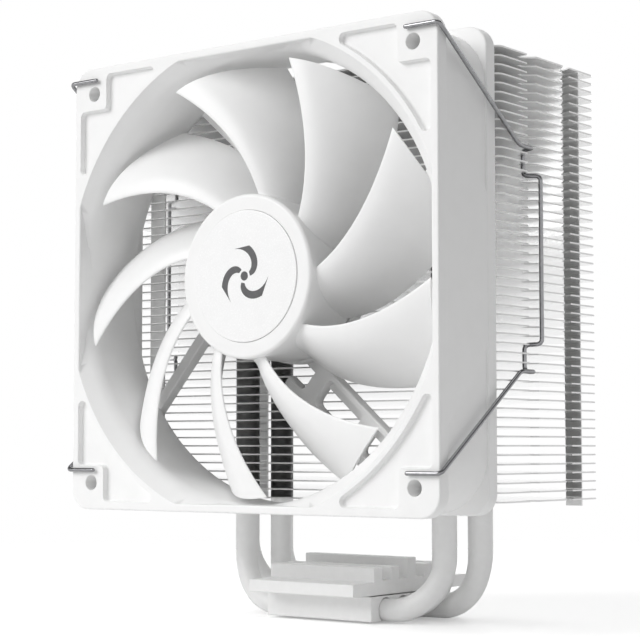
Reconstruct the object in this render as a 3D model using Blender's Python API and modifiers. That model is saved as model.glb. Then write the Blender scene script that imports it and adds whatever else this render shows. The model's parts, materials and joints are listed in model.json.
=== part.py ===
"""Tower cooler for a processor: contact base, heat pipes, fin stack, fan and wire clips.

Metres, +Z up. The origin is the centre of the contact face and the fan is at the front, at -Y.
The fan's parts hang on an empty on the fan's axis, whose own +Z points out of the fan's front.
"""

import math

import bmesh
import bpy
from mathutils import Matrix, Vector

MODEL = "cpu_tower_cooler"
GAP = 0.0003
FLAT_ANGLE = math.radians(0.5)

# Base
BASE_HALF_WIDTH = 0.0172
BLOCK_HALF_DEPTH = 0.0184
BLOCK_TOP = 0.0064
LIP_HALF_DEPTH = 0.0261
LIP_TOP = 0.0100
GROOVE_FLOOR = 0.0104
RIDGE_TOP = 0.0138
MIDDLE_RIDGE_TOP = 0.0158
RIDGE_PITCH = 0.0076
RIDGE_WIDTH = 0.0038
RIDGES_EACH_SIDE = 2
LIP_HOLE = (0.0115, 0.0222)
LIP_HOLE_RADIUS = 0.0015

# Heat pipes
PIPE_RADIUS = 0.0030
PIPE_AXIS_Z = 0.0027
PIPE_PITCH_IN_BASE = 0.0078
PIPE_TOP = 0.1480
PIPE_TIP = 0.0026
# The crimped tip: shares of its length below the top, and the scale of the radius there.
PIPE_TIP_SHAPE = ((0.0, 0.35), (0.6, 0.8), (1.0, 1.0))
# For each pipe: the leg's X and Y, and the radius of its bend.
PIPE_LEGS = (
    (0.0332, -0.0080, 0.0140),
    (0.0272, 0.0, 0.0100),
    (0.0390, 0.0, 0.0160),
    (0.0332, 0.0080, 0.0140),
)
BEND_STEPS = 6

# Fins
FIN_COUNT = 50
FIN_THICKNESS = 0.0004
TOP_FIN_Z = 0.14285
FIN_PITCH = 0.002272
FIN_HALF_WIDTH = 0.0605
FIN_FRONT = -0.0245
FIN_REAR = 0.0232
NOTCH_DEPTH = 0.0029
# Y of the front notch from its sharp shoulder to the end of its slope, and of the slanted rear one.
FRONT_NOTCH_Y = (-0.0112, -0.0112, -0.0089, -0.0067)
REAR_NOTCH_Y = (0.0065, 0.0100, 0.0111, 0.0095)
FRONT_TAB_X = (0.0495, 0.0548)
REAR_TAB_X = (0.0509, 0.0556)

# Fan, in the frame of its own axis: z runs from the rear face to the front face
FAN_CENTRE_Z = 0.08785
FAN_HALF = 0.0596
FAN_DEPTH = 0.0250
FAN_REAR_Y = FIN_FRONT - GAP
FAN_CORNER_RADIUS = 0.0055
FLANGE = 0.0039
# Between the flanges the corners are rounder, and a cone stands proud of the flat sides.
BODY_HALF = 0.0590
BODY_CORNER_RADIUS = 0.0140
CONE_HALF = 0.05945
CONE_FRONT_RADIUS = 0.0713
CONE_REAR_RADIUS = 0.0613
DUCT_RADIUS = 0.0575
MOUTH_RADIUS = 0.0617
MOUTH_DEPTH = 0.0065
OUTLET_RADIUS = 0.0610
OUTLET_DEPTH = 0.0045
CUTTER_REACH = 0.0010
SCREW_HOLE_SPACING = 0.1050
SCREW_HOLE_RADIUS = 0.0020
POCKET_DEPTH = 0.0015
REAR_POCKET_DEPTH = 0.0150
POCKET_RIM = 0.0573
POCKET_ARC_RADIUS = 0.0633
PAD_EDGE = 0.0478
MOUNT_RADIUS = 0.0215
MOUNT_THICKNESS = 0.0035
STRUT_OFFSET = 0.0159
STRUT_WIDTH = 0.0030
STRUT_OVERLAP = 0.0008
STRUT_END_RADIUS = 0.0622
LADDER_ANGLE = -41.0
# How far the ladder's rails and its ledge lie beside the axis.
LADDER_INNER = (0.0104, 0.0120)
LADDER_OUTER = (0.0198, 0.0228)
LADDER_LEDGE = (0.0112, 0.0148)
LEDGE_THICKNESS = 0.0012
LADDER_RUNGS = (0.0230, 0.0420)
RUNG_WIDTH = 0.0050
TUBE_RADIUS = 0.0040
TUBE_BORE = 0.0030
TUBE_TOP = 0.0050
LABEL_RADIUS = 0.0170
LABEL_THICKNESS = 0.0003

# Rotor
HUB_RADIUS = 0.0210
HUB_WALL = 0.0012
HUB_FRONT = 0.0112
HUB_REAR = -0.0082
HUB_DISC_RADIUS = 0.0167
HUB_DISC_THICKNESS = 0.0006
HUB_DISC_FRONT = 0.0115
HUB_BOSS_RADIUS = 0.0030
BLADE_COUNT = 9
BLADE_STEPS = 4
BLADE_TIP_RADIUS = 0.0558
BLADE_THICKNESS = 0.0014
BLADE_CAMBER = 0.82
# Of the leading and the trailing edge at a blade's root, middle and tip: angle and height.
LEAD_ANGLES = (2.7, 21.4, 36.5)
TRAIL_ANGLES = (-30.6, -6.7, 10.2)
LEAD_Z = (0.0088, 0.0102, 0.0100)
TRAIL_Z = (-0.0073, -0.0057, -0.0062)
HUB_EDGE = 0.0010
HUB_ROOF = 0.0030
HUB_BOSS_LENGTH = 0.0020
HUB_BORE_DEPTH = 0.0008
SHAFT_RADIUS = 0.0010
SHAFT_Z = (-0.0100, 0.0079)
SHAFT_GROOVE_RADIUS = 0.0007
SHAFT_GROOVE_Z = (-0.0095, -0.0086)

# Motor inside the hub
YOKE_RADIUS = 0.0195
YOKE_WALL = 0.0008
YOKE_TOP = 0.0070
YOKE_HOLE = 0.0080
YOKE_RIM = 0.0004
MAGNET_RADIUS = 0.0184
MAGNET_BORE = 0.0162
MAGNET_Z = (-0.0076, 0.0058)
POLES = 4
POLE_RADIUS = 0.0154
POLE_HALF_ANGLE = 35.0
SHOE_TAPER_ANGLE = 2.0
SHOE_DEPTH = 0.0022
NECK_LENGTH_LOSS = 0.0030
NECK_HALF_WIDTH = 0.0020
CORE_ROOT = 0.0054
CORE_HALF_HEIGHT = 0.0025
COIL_DEPTH = (0.0062, 0.0113)
COIL_WIRE = 0.0021
BOARD_RADIUS = 0.0150
BOARD_Z = (-0.0087, -0.0077)
BEARING_RADIUS = 0.0027
BEARING_BORE = 0.0013
BEARING_Z = (-0.0083, 0.0045)
CAP_Z = (-0.0114, -0.0104)
RING_RADIUS = 0.0022
RING_BORE = 0.0009
RING_Z = (-0.0092, -0.0089)

# Wire clips, for the one on the right: x and y across, and half heights about the clip's middle
WIRE_RADIUS = 0.00055
CLIP_MIDDLE_Z = FAN_CENTRE_Z + 0.00345
CLIP_AXIS_X = 0.0505
CLIP_FACE_Y = -0.05065
CLIP_ROUTE = (
    (0.0505, -0.05065, 0.05255),
    (0.06045, -0.05065, 0.05255),
    (0.0612, -0.0163, 0.0279),
    (0.0612, -0.0097, 0.0279),
    (0.05835, -0.0100, 0.0278),
    (0.05835, -0.0100, 0.02115),
    (0.0625, -0.0085, 0.02100),
)
CLIP_BEND = 0.0012

ALONG_X = Matrix(((0, 0, 1, 0), (1, 0, 0, 0), (0, 1, 0, 0), (0, 0, 0, 1)))


# Scene and materials


def clear_scene():
    for obj in list(bpy.data.objects):
        bpy.data.objects.remove(obj, do_unlink=True)


def new_collection(name):
    made = bpy.data.collections.new(name)
    bpy.context.scene.collection.children.link(made)
    return made


def new_material(name, colour, roughness, metallic=0.0):
    made = bpy.data.materials.new(name)
    made.use_nodes = True
    shader = made.node_tree.nodes["Principled BSDF"]
    shader.inputs["Base Color"].default_value = (*colour, 1.0)
    shader.inputs["Roughness"].default_value = roughness
    shader.inputs["Metallic"].default_value = metallic
    return made


def make_materials():
    return {
        "paint": new_material("white_paint", (0.86, 0.86, 0.85), 0.35),
        "plastic": new_material("white_plastic", (0.82, 0.82, 0.81), 0.42),
        "disc": new_material("white_disc", (0.90, 0.90, 0.90), 0.25),
        "wire": new_material("spring_steel", (0.45, 0.45, 0.46), 0.25, 1.0),
        "steel": new_material("plain_steel", (0.55, 0.55, 0.56), 0.35, 1.0),
        "magnet": new_material("ferrite", (0.06, 0.06, 0.06), 0.6),
        "lamination": new_material("laminated_steel", (0.35, 0.35, 0.37), 0.45, 1.0),
        "copper": new_material("enamelled_copper", (0.62, 0.27, 0.12), 0.35, 1.0),
        "board": new_material("circuit_board", (0.03, 0.18, 0.08), 0.5),
        "bronze": new_material("sintered_bronze", (0.50, 0.34, 0.17), 0.5, 1.0),
    }


def finish_piece(obj, material, parent=None, smooth_angle=30.0):
    """Gives a finished piece its material, its shading and its parent."""
    obj.data.materials.clear()
    obj.data.materials.append(material)
    obj.data.shade_smooth()
    obj.data.set_sharp_from_angle(angle=math.radians(smooth_angle))
    if parent is not None:
        obj.parent = parent
    return obj


def add_empty(name, matrix, collection):
    empty = bpy.data.objects.new(name, None)
    empty.matrix_world = matrix
    collection.objects.link(empty)
    return empty


# Shapes


def object_from(name, shape, collection):
    """A mesh object made from a bmesh."""
    mesh = bpy.data.meshes.new(name)
    shape.to_mesh(mesh)
    shape.free()
    obj = bpy.data.objects.new(name, mesh)
    collection.objects.link(obj)
    return obj


def bake(obj, helpers=()):
    """Turns an object into a plain closed mesh, and drops the helpers that its modifiers used."""
    graph = bpy.context.evaluated_depsgraph_get()
    mesh = bpy.data.meshes.new_from_object(obj.evaluated_get(graph))
    shape = bmesh.new()
    shape.from_mesh(mesh)
    bmesh.ops.remove_doubles(shape, verts=shape.verts, dist=1e-6)
    bmesh.ops.dissolve_limit(
        shape, angle_limit=FLAT_ANGLE, verts=list(shape.verts), edges=list(shape.edges)
    )
    bmesh.ops.recalc_face_normals(shape, faces=shape.faces)
    name = obj.name
    collection = obj.users_collection[0]
    for used in (obj, *helpers):
        bpy.data.objects.remove(used, do_unlink=True)
    return object_from(name, shape, collection)


def combine(obj, helpers, operation):
    for helper in helpers:
        modifier = obj.modifiers.new(helper.name, "BOOLEAN")
        modifier.solver = "EXACT"
        modifier.operation = operation
        modifier.object = helper
    return bake(obj, helpers)


def placed(obj, matrix):
    obj.data.transform(matrix)
    return obj


def block(name, low, high, collection):
    shape = bmesh.new()
    bmesh.ops.create_cube(shape, size=1.0)
    bmesh.ops.scale(shape, vec=Vector(high) - Vector(low), verts=shape.verts)
    bmesh.ops.translate(shape, vec=(Vector(high) + Vector(low)) / 2, verts=shape.verts)
    return object_from(name, shape, collection)


def rod(name, radius, low, high, collection, centre=(0.0, 0.0), sides=24):
    shape = bmesh.new()
    bmesh.ops.create_cone(
        shape, cap_ends=True, segments=sides, radius1=radius, radius2=radius, depth=high - low
    )
    bmesh.ops.translate(shape, vec=(*centre, (low + high) / 2), verts=shape.verts)
    return object_from(name, shape, collection)


def plate(name, loops, low, high, collection):
    """A flat plate between two heights: the first loop is its outline, the others are its holes."""
    curve = bpy.data.curves.new(name, "CURVE")
    curve.dimensions = "2D"
    curve.fill_mode = "BOTH"
    curve.extrude = (high - low) / 2
    for loop in loops:
        spline = curve.splines.new("POLY")
        spline.points.add(len(loop) - 1)
        for point, (x, y) in zip(spline.points, loop):
            point.co = (x, y, 0.0, 1.0)
        spline.use_cyclic_u = True
    obj = bpy.data.objects.new(name, curve)
    collection.objects.link(obj)
    return placed(bake(obj), Matrix.Translation((0, 0, (low + high) / 2)))


def turned(name, profile, collection, steps=48, closed=True):
    """A profile of (radius, z) points turned about Z; it runs down its outer side."""
    mesh = bpy.data.meshes.new(name)
    ends = [(i, i + 1) for i in range(len(profile) - 1)]
    if closed:
        ends.append((len(profile) - 1, 0))
    mesh.from_pydata([(radius, 0.0, z) for radius, z in profile], ends, [])
    obj = bpy.data.objects.new(name, mesh)
    collection.objects.link(obj)
    screw = obj.modifiers.new("turn", "SCREW")
    screw.steps = steps
    screw.render_steps = steps
    screw.use_merge_vertices = True
    screw.merge_threshold = 1e-6
    return bake(obj)


def ring(name, outer, inner, low, high, collection, steps=48):
    profile = [(outer, high), (outer, low), (inner, low), (inner, high)]
    return turned(name, profile, collection, steps)


def tube(name, points, radius, collection, scales=None):
    """A round bar along a list of points, which may narrow at some of them."""
    curve = bpy.data.curves.new(name, "CURVE")
    curve.dimensions = "3D"
    curve.bevel_depth = radius
    curve.bevel_resolution = 2
    curve.use_fill_caps = True
    spline = curve.splines.new("POLY")
    spline.points.add(len(points) - 1)
    for i, (point, co) in enumerate(zip(spline.points, points)):
        point.co = (*co, 1.0)
        point.radius = scales[i] if scales else 1.0
    obj = bpy.data.objects.new(name, curve)
    collection.objects.link(obj)
    return bake(obj)


def circle(radius, sides, centre=(0.0, 0.0)):
    """Corners of a regular polygon whose flats touch the circle."""
    reach = radius / math.cos(math.pi / sides)
    angles = [2 * math.pi * i / sides for i in range(sides)]
    return [(centre[0] + reach * math.cos(a), centre[1] + reach * math.sin(a)) for a in angles]


def arc(centre, radius, start, end, steps):
    """Points along an arc, with angles in degrees."""
    angles = [math.radians(start + (end - start) * i / steps) for i in range(steps + 1)]
    return [(centre[0] + radius * math.cos(a), centre[1] + radius * math.sin(a)) for a in angles]


def rounded_square(half, radius, steps=3):
    inner = half - radius
    points = []
    for quarter, (sx, sy) in enumerate(((1, 1), (-1, 1), (-1, -1), (1, -1))):
        points += arc((sx * inner, sy * inner), radius, 90 * quarter, 90 * quarter + 90, steps)
    return points


def smooth_step(t):
    return t * t * (3 - 2 * t)


def through_three(values, t):
    """A parabola through three values at t = 0, 0.5 and 1."""
    first, middle, last = values
    return (
        first * (1 - t) * (1 - 2 * t) + middle * 4 * t * (1 - t) + last * t * (2 * t - 1)
    )


# Base


def pipe_row(index):
    """Y of a heat pipe where it lies in the base."""
    return (index - (len(PIPE_LEGS) - 1) / 2) * PIPE_PITCH_IN_BASE


def make_contact_block(collection):
    """A block whose grooves hold the pipes and are open along the contact face."""
    groove = PIPE_RADIUS + GAP
    mouth = math.degrees(math.asin(PIPE_AXIS_Z / groove))
    outline = [(-BLOCK_HALF_DEPTH, 0.0), (-BLOCK_HALF_DEPTH, BLOCK_TOP)]
    outline += [(BLOCK_HALF_DEPTH, BLOCK_TOP), (BLOCK_HALF_DEPTH, 0.0)]
    for index in reversed(range(len(PIPE_LEGS))):
        outline += arc((pipe_row(index), PIPE_AXIS_Z), groove, -mouth, 180 + mouth, 10)
    obj = plate("contact_block", [outline], -BASE_HALF_WIDTH, BASE_HALF_WIDTH, collection)
    return placed(obj, ALONG_X)


def cover_outline():
    """The cover's section across its ridges: one half, then its mirror image."""
    half = [(LIP_HALF_DEPTH, BLOCK_TOP + GAP), (LIP_HALF_DEPTH, LIP_TOP)]
    outer = RIDGES_EACH_SIDE * RIDGE_PITCH + RIDGE_WIDTH / 2
    half.append((outer, LIP_TOP))
    for index in range(RIDGES_EACH_SIDE, 0, -1):
        centre = index * RIDGE_PITCH
        half += [(centre + RIDGE_WIDTH / 2, RIDGE_TOP), (centre - RIDGE_WIDTH / 2, RIDGE_TOP)]
        half.append((centre - RIDGE_WIDTH / 2, GROOVE_FLOOR))
        half.append((centre - RIDGE_PITCH + RIDGE_WIDTH / 2, GROOVE_FLOOR))
    half.append((RIDGE_WIDTH / 2, MIDDLE_RIDGE_TOP))
    return half + [(-y, z) for y, z in reversed(half)]


def make_base_cover(collection):
    obj = plate("base_cover", [cover_outline()], -BASE_HALF_WIDTH, BASE_HALF_WIDTH, collection)
    placed(obj, ALONG_X)
    x, y = LIP_HOLE
    corners = [(sx * x, sy * y) for sx in (-1, 1) for sy in (-1, 1)]
    drills = [
        rod(f"lip_drill_{i}", LIP_HOLE_RADIUS, 0.0, 2 * LIP_TOP, collection, corner, 16)
        for i, corner in enumerate(corners)
    ]
    return combine(obj, drills, "DIFFERENCE")


# Heat pipes


def pipe_half(index):
    """One half of a pipe from its tip down to the base, as (x, y, z, scale of the radius)."""
    leg_x, leg_y, bend = PIPE_LEGS[index]
    row = pipe_row(index)
    points = [(leg_x, leg_y, PIPE_TOP - PIPE_TIP * t, scale) for t, scale in PIPE_TIP_SHAPE]
    for step in range(BEND_STEPS + 1):
        t = step / BEND_STEPS
        angle = t * math.pi / 2
        x = leg_x - bend + bend * math.cos(angle)
        z = PIPE_AXIS_Z + bend - bend * math.sin(angle)
        points.append((x, leg_y + (row - leg_y) * smooth_step(t), z, 1.0))
    return points


def make_heat_pipe(index, collection):
    half = pipe_half(index)
    path = half + [(-x, y, z, scale) for x, y, z, scale in reversed(half)]
    name = f"heat_pipe_{index + 1}"
    scales = [point[3] for point in path]
    pipe = tube(name, [point[:3] for point in path], PIPE_RADIUS, collection, scales)
    reach = 2 * FIN_HALF_WIDTH
    mill = block(name + "_mill", (-reach, -reach, -reach), (reach, reach, 0.0), collection)
    return combine(pipe, [mill], "DIFFERENCE")


# Fins


def fin_side():
    """One side of a fin from front to rear, with a notch for a fan's clip at either end."""
    side = FIN_HALF_WIDTH
    notch_x = (side, side - NOTCH_DEPTH, side - NOTCH_DEPTH, side)
    notches = [*zip(notch_x, FRONT_NOTCH_Y), *zip(notch_x, REAR_NOTCH_Y)]
    return [(side, FIN_FRONT), *notches, (side, FIN_REAR)]


def fin_plate(name, height, hole_sides, collection):
    side = fin_side()
    loops = [side + [(-x, y) for x, y in reversed(side)]]
    for x, y, _ in PIPE_LEGS:
        for sign in (-1, 1):
            loops.append(circle(PIPE_RADIUS + GAP, hole_sides, (sign * x, y)))
    low = height - FIN_THICKNESS / 2
    return plate(name, loops, low, low + FIN_THICKNESS, collection)


def fin_tabs(name, top, bottom, collection):
    """The four folded tabs of a pair; those of the upper fin and the lower one run in line."""
    front = (FRONT_TAB_X, (FIN_FRONT, FIN_FRONT + FIN_THICKNESS))
    rear = (REAR_TAB_X, (FIN_REAR - FIN_THICKNESS, FIN_REAR))
    tabs = []
    for sign in (-1, 1):
        for span, ys in (front, rear):
            xs = sorted(sign * x for x in span)
            low = (xs[0], ys[0], bottom)
            high = (xs[1], ys[1], top)
            tabs.append(block(f"{name}_{len(tabs)}", low, high, collection))
    return tabs


def make_fin_pair_shape(name, top_sides, bottom_sides, collection):
    """Two fins joined through the tabs of the upper one; z = 0 is the middle of the upper fin."""
    upper = fin_plate(name, 0.0, top_sides, collection)
    lower = fin_plate(name + "_lower", -FIN_PITCH, bottom_sides, collection)
    hanging_end = -2 * FIN_PITCH + FIN_THICKNESS / 2 + GAP
    tabs = fin_tabs(name + "_tab", 0.0, hanging_end, collection)
    return combine(upper, [lower, *tabs], "UNION")


def make_fins(materials, collection):
    """Pairs of fins from the top down; the outermost fins have rounder pipe holes."""
    round_hole, plain_hole = 16, 4
    top = make_fin_pair_shape("fin_pair_01", round_hole, plain_hole, collection)
    inner = make_fin_pair_shape("fin_pair_02", plain_hole, plain_hole, collection)
    last_name = f"fin_pair_{FIN_COUNT // 2:02d}"
    bottom = make_fin_pair_shape(last_name, plain_hole, round_hole, collection)
    pairs = [top, inner]
    for index in range(2, FIN_COUNT // 2 - 1):
        copy = bpy.data.objects.new(f"fin_pair_{index + 1:02d}", inner.data)
        collection.objects.link(copy)
        pairs.append(copy)
    pairs.append(bottom)
    for index, pair in enumerate(pairs):
        pair.location.z = TOP_FIN_Z - 2 * index * FIN_PITCH
    for pair in (top, inner, bottom):
        finish_piece(pair, materials["paint"])


# Fan frame


def flare(radius, depth, steps=3):
    """Points (radius, distance from the face) from a duct's rim in to its straight bore."""
    lip = radius - DUCT_RADIUS
    angles = [math.pi / 2 * step / steps for step in range(steps + 1)]
    return [(radius - lip * math.sin(a), depth * (1 - math.cos(a))) for a in angles]


def duct_profile():
    """The duct's hole from in front of the fan to behind it, with a rounded mouth and outlet."""
    face = FAN_DEPTH / 2
    end = face + CUTTER_REACH
    mouth = [(radius, face - z) for radius, z in flare(MOUTH_RADIUS, MOUTH_DEPTH)]
    outlet = [(radius, z - face) for radius, z in reversed(flare(OUTLET_RADIUS, OUTLET_DEPTH))]
    return [(0.0, end), (MOUTH_RADIUS, end), *mouth, *outlet, (OUTLET_RADIUS, -end), (0.0, -end)]


def make_duct_cutter(collection):
    cutter = turned("duct_cutter", duct_profile(), collection, 48, closed=False)
    low = (-DUCT_RADIUS, -DUCT_RADIUS, -FAN_DEPTH)
    high = (DUCT_RADIUS, DUCT_RADIUS, FAN_DEPTH)
    limit = block("duct_limit", low, high, collection)
    return combine(cutter, [limit], "INTERSECT")


def make_pocket_cutters(collection):
    """L-shaped pockets round the pad of each screw hole: shallow in front, deep at the rear."""
    end = math.degrees(math.asin(POCKET_RIM / POCKET_ARC_RADIUS))
    outline = arc((0, 0), POCKET_ARC_RADIUS, 90 - end, end, 5)
    outline += [(PAD_EDGE, POCKET_RIM), (PAD_EDGE, PAD_EDGE), (POCKET_RIM, PAD_EDGE)]
    face = FAN_DEPTH / 2
    end = face + CUTTER_REACH
    cutters = []
    for low, high in ((face - POCKET_DEPTH, end), (-end, REAR_POCKET_DEPTH - face)):
        for quarter in range(4):
            cutter = plate(f"pocket_cutter_{len(cutters)}", [outline], low, high, collection)
            cutters.append(placed(cutter, Matrix.Rotation(quarter * math.pi / 2, 4, "Z")))
    return cutters


def strut_bar(name, angle, near, far, thickness, collection):
    """A bar of the frame's spider; it runs beside the axis, from the mount's rim to the barrel."""
    low_z = -FAN_DEPTH / 2
    seat = LABEL_RADIUS + STRUT_OVERLAP
    start = math.sqrt(max(0.0, seat**2 - near**2))
    end = math.sqrt(STRUT_END_RADIUS**2 - ((near + far) / 2) ** 2)
    bar = block(name, (start, -far, low_z), (end, -near, low_z + thickness), collection)
    return placed(bar, Matrix.Rotation(math.radians(angle), 4, "Z"))


def make_ladder_rungs(collection):
    low_z = -FAN_DEPTH / 2
    rungs = []
    for reach in LADDER_RUNGS:
        low = (reach - RUNG_WIDTH / 2, -sum(LADDER_OUTER) / 2, low_z)
        high = (reach + RUNG_WIDTH / 2, -sum(LADDER_INNER) / 2, low_z + MOUNT_THICKNESS)
        rung = block(f"rung_{len(rungs)}", low, high, collection)
        rungs.append(placed(rung, Matrix.Rotation(math.radians(LADDER_ANGLE), 4, "Z")))
    return rungs


def make_spider_bars(collection):
    """Three single bars, and a ladder of two bars and a ledge that guides the fan's leads."""
    near, far = STRUT_OFFSET - STRUT_WIDTH / 2, STRUT_OFFSET + STRUT_WIDTH / 2
    bars = []
    for quarter in (1, 2, 3):
        angle = LADDER_ANGLE + 90 * quarter
        bars.append(strut_bar(f"strut_{quarter}", angle, near, far, MOUNT_THICKNESS, collection))
    bars.append(strut_bar("inner_rail", LADDER_ANGLE, *LADDER_INNER, MOUNT_THICKNESS, collection))
    bars.append(strut_bar("outer_rail", LADDER_ANGLE, *LADDER_OUTER, MOUNT_THICKNESS, collection))
    bars.append(strut_bar("ledge", LADDER_ANGLE, *LADDER_LEDGE, LEDGE_THICKNESS, collection))
    return bars + make_ladder_rungs(collection)


def make_motor_mount(collection):
    """The disc that carries the motor, with its bearing tube and the seat of the rear disc."""
    rear = -FAN_DEPTH / 2
    front = rear + MOUNT_THICKNESS
    seat = LABEL_THICKNESS + GAP
    profile = [
        (TUBE_RADIUS, TUBE_TOP),
        (TUBE_RADIUS, front),
        (MOUNT_RADIUS, front),
        (MOUNT_RADIUS, rear),
        (LABEL_RADIUS + GAP, rear),
        (LABEL_RADIUS + GAP, rear + seat),
        (TUBE_BORE, rear + seat),
        (TUBE_BORE, TUBE_TOP),
    ]
    return turned("motor_mount", profile, collection, 32)


def make_screw_drills(collection):
    half = SCREW_HOLE_SPACING / 2
    corners = [(sx * half, sy * half) for sx in (-1, 1) for sy in (-1, 1)]
    return [
        rod(f"drill_{i}", SCREW_HOLE_RADIUS, -FAN_DEPTH, FAN_DEPTH, collection, corner, 16)
        for i, corner in enumerate(corners)
    ]


def make_side_cone(collection):
    """The cone round the duct, from flange to flange, cut off flat at the frame's sides."""
    top = FAN_DEPTH / 2 - FLANGE / 2
    profile = [(0.0, top), (CONE_FRONT_RADIUS, top), (CONE_REAR_RADIUS, -top), (0.0, -top)]
    cone = turned("side_cone", profile, collection, 48, closed=False)
    low = (-CONE_HALF, -CONE_HALF, -FAN_DEPTH)
    limit = block("side_limit", low, [-value for value in low], collection)
    return combine(cone, [limit], "INTERSECT")


def make_fan_frame(collection):
    face = FAN_DEPTH / 2
    outline = rounded_square(FAN_HALF, FAN_CORNER_RADIUS)
    body_outline = rounded_square(BODY_HALF, BODY_CORNER_RADIUS, 5)
    middle = face - FLANGE / 2
    frame = plate("fan_frame", [outline], face - FLANGE, face, collection)
    rear = plate("rear_flange", [outline], -face, FLANGE - face, collection)
    body = plate("frame_body", [body_outline], -middle, middle, collection)
    frame = combine(frame, [rear, body, make_side_cone(collection)], "UNION")
    cutters = [make_duct_cutter(collection)]
    cutters += make_screw_drills(collection) + make_pocket_cutters(collection)
    frame = combine(frame, cutters, "DIFFERENCE")
    mount = make_motor_mount(collection)
    spider = combine(mount, make_spider_bars(collection), "UNION")
    return combine(frame, [spider], "UNION")


# Rotor


def hub_profile():
    """The hub's cup: a seat for the disc in front, and a boss for the shaft inside."""
    seat = HUB_DISC_FRONT - HUB_DISC_THICKNESS - GAP
    under = seat - HUB_ROOF
    bore = SHAFT_RADIUS + GAP
    edge = HUB_EDGE
    profile = [(0.0, seat), (HUB_DISC_RADIUS + GAP, seat), (HUB_DISC_RADIUS + GAP, HUB_FRONT)]
    for step in range(3):
        angle = step * math.pi / 4
        radius = HUB_RADIUS - edge + edge * math.sin(angle)
        profile.append((radius, HUB_FRONT - edge + edge * math.cos(angle)))
    inner = HUB_RADIUS - HUB_WALL
    profile += [(HUB_RADIUS, HUB_REAR), (inner, HUB_REAR), (inner, under)]
    boss_end = under - HUB_BOSS_LENGTH
    bore_end = under + HUB_BORE_DEPTH
    profile += [(HUB_BOSS_RADIUS, under), (HUB_BOSS_RADIUS, boss_end)]
    profile += [(bore, boss_end), (bore, bore_end), (0.0, bore_end)]
    return profile


def make_blade_surface(name, collection):
    """One blade's middle surface, from inside the hub's wall to its tip."""
    shape = bmesh.new()
    root = HUB_RADIUS - HUB_WALL / 2
    rows = []
    for i in range(BLADE_STEPS + 1):
        t = i / BLADE_STEPS
        radius = root + (BLADE_TIP_RADIUS - root) * t
        lead = through_three(LEAD_ANGLES, t)
        trail = through_three(TRAIL_ANGLES, t)
        lead_z = through_three(LEAD_Z, t)
        trail_z = through_three(TRAIL_Z, t)
        row = []
        for j in range(BLADE_STEPS + 1):
            c = j / BLADE_STEPS
            angle = math.radians(lead + (trail - lead) * c)
            drop = c + BLADE_CAMBER * (c * c - c)
            z = lead_z + (trail_z - lead_z) * drop
            row.append(shape.verts.new((radius * math.cos(angle), radius * math.sin(angle), z)))
        rows.append(row)
    for near, far in zip(rows, rows[1:]):
        for j in range(BLADE_STEPS):
            shape.faces.new((near[j], near[j + 1], far[j + 1], far[j]))
    return object_from(name, shape, collection)


def make_blades(collection):
    """All blades in one mesh."""
    blade = make_blade_surface("blades", collection)
    solid = blade.modifiers.new("thickness", "SOLIDIFY")
    solid.thickness = BLADE_THICKNESS
    solid.offset = 0.0
    blade = bake(blade)
    shape = bmesh.new()
    shape.from_mesh(blade.data)
    first = list(shape.verts) + list(shape.edges) + list(shape.faces)
    for index in range(1, BLADE_COUNT):
        copy = bmesh.ops.duplicate(shape, geom=first)["geom"]
        verts = [item for item in copy if isinstance(item, bmesh.types.BMVert)]
        turn = Matrix.Rotation(2 * math.pi * index / BLADE_COUNT, 3, "Z")
        bmesh.ops.rotate(shape, cent=(0, 0, 0), matrix=turn, verts=verts)
    bpy.data.objects.remove(blade, do_unlink=True)
    return object_from("blades", shape, collection)


def make_impeller(collection):
    hub = turned("impeller", hub_profile(), collection, 24, closed=False)
    return combine(hub, [make_blades(collection)], "UNION")


def make_shaft(collection):
    """A shaft with a groove near its rear end for the retaining ring."""
    low, high = SHAFT_Z
    groove_low, groove_high = SHAFT_GROOVE_Z
    profile = [(0.0, high), (SHAFT_RADIUS, high), (SHAFT_RADIUS, groove_high)]
    profile += [(SHAFT_GROOVE_RADIUS, groove_high), (SHAFT_GROOVE_RADIUS, groove_low)]
    profile += [(SHAFT_RADIUS, groove_low), (SHAFT_RADIUS, low), (0.0, low)]
    return turned("rotor_shaft", profile, collection, 12, closed=False)


def make_yoke(collection):
    """A steel cup that closes the magnet's field, open in the middle for the boss."""
    bottom = HUB_REAR + YOKE_RIM
    roof = YOKE_TOP - YOKE_WALL
    inner = YOKE_RADIUS - YOKE_WALL
    profile = [(YOKE_HOLE, YOKE_TOP), (YOKE_RADIUS, YOKE_TOP), (YOKE_RADIUS, bottom)]
    profile += [(inner, bottom), (inner, roof), (YOKE_HOLE, roof)]
    return turned("rotor_yoke", profile, collection, 24)


# Stator


def core_outline():
    """The laminations: a star of poles whose shoes follow the magnet."""
    neck = POLE_RADIUS - NECK_LENGTH_LOSS
    shoe = POLE_RADIUS - SHOE_DEPTH
    points = []
    for index in range(POLES):
        middle = 360 * index / POLES
        turn = Matrix.Rotation(math.radians(middle), 2)
        first = [(CORE_ROOT, -NECK_HALF_WIDTH), (neck, -NECK_HALF_WIDTH)]
        last = [(neck, NECK_HALF_WIDTH), (CORE_ROOT, NECK_HALF_WIDTH)]
        reach = POLE_HALF_ANGLE - SHOE_TAPER_ANGLE
        points += [tuple(turn @ Vector(p)) for p in first]
        points += [polar(shoe, middle - reach)]
        points += arc((0, 0), POLE_RADIUS, middle - POLE_HALF_ANGLE, middle + POLE_HALF_ANGLE, 6)
        points += [polar(shoe, middle + reach)]
        points += [tuple(turn @ Vector(p)) for p in last]
    return points


def polar(radius, degrees):
    angle = math.radians(degrees)
    return (radius * math.cos(angle), radius * math.sin(angle))


def make_stator_core(collection):
    hole = circle(TUBE_RADIUS + GAP, 16)
    loops = [core_outline(), hole]
    return plate("stator_core", loops, -CORE_HALF_HEIGHT, CORE_HALF_HEIGHT, collection)


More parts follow.
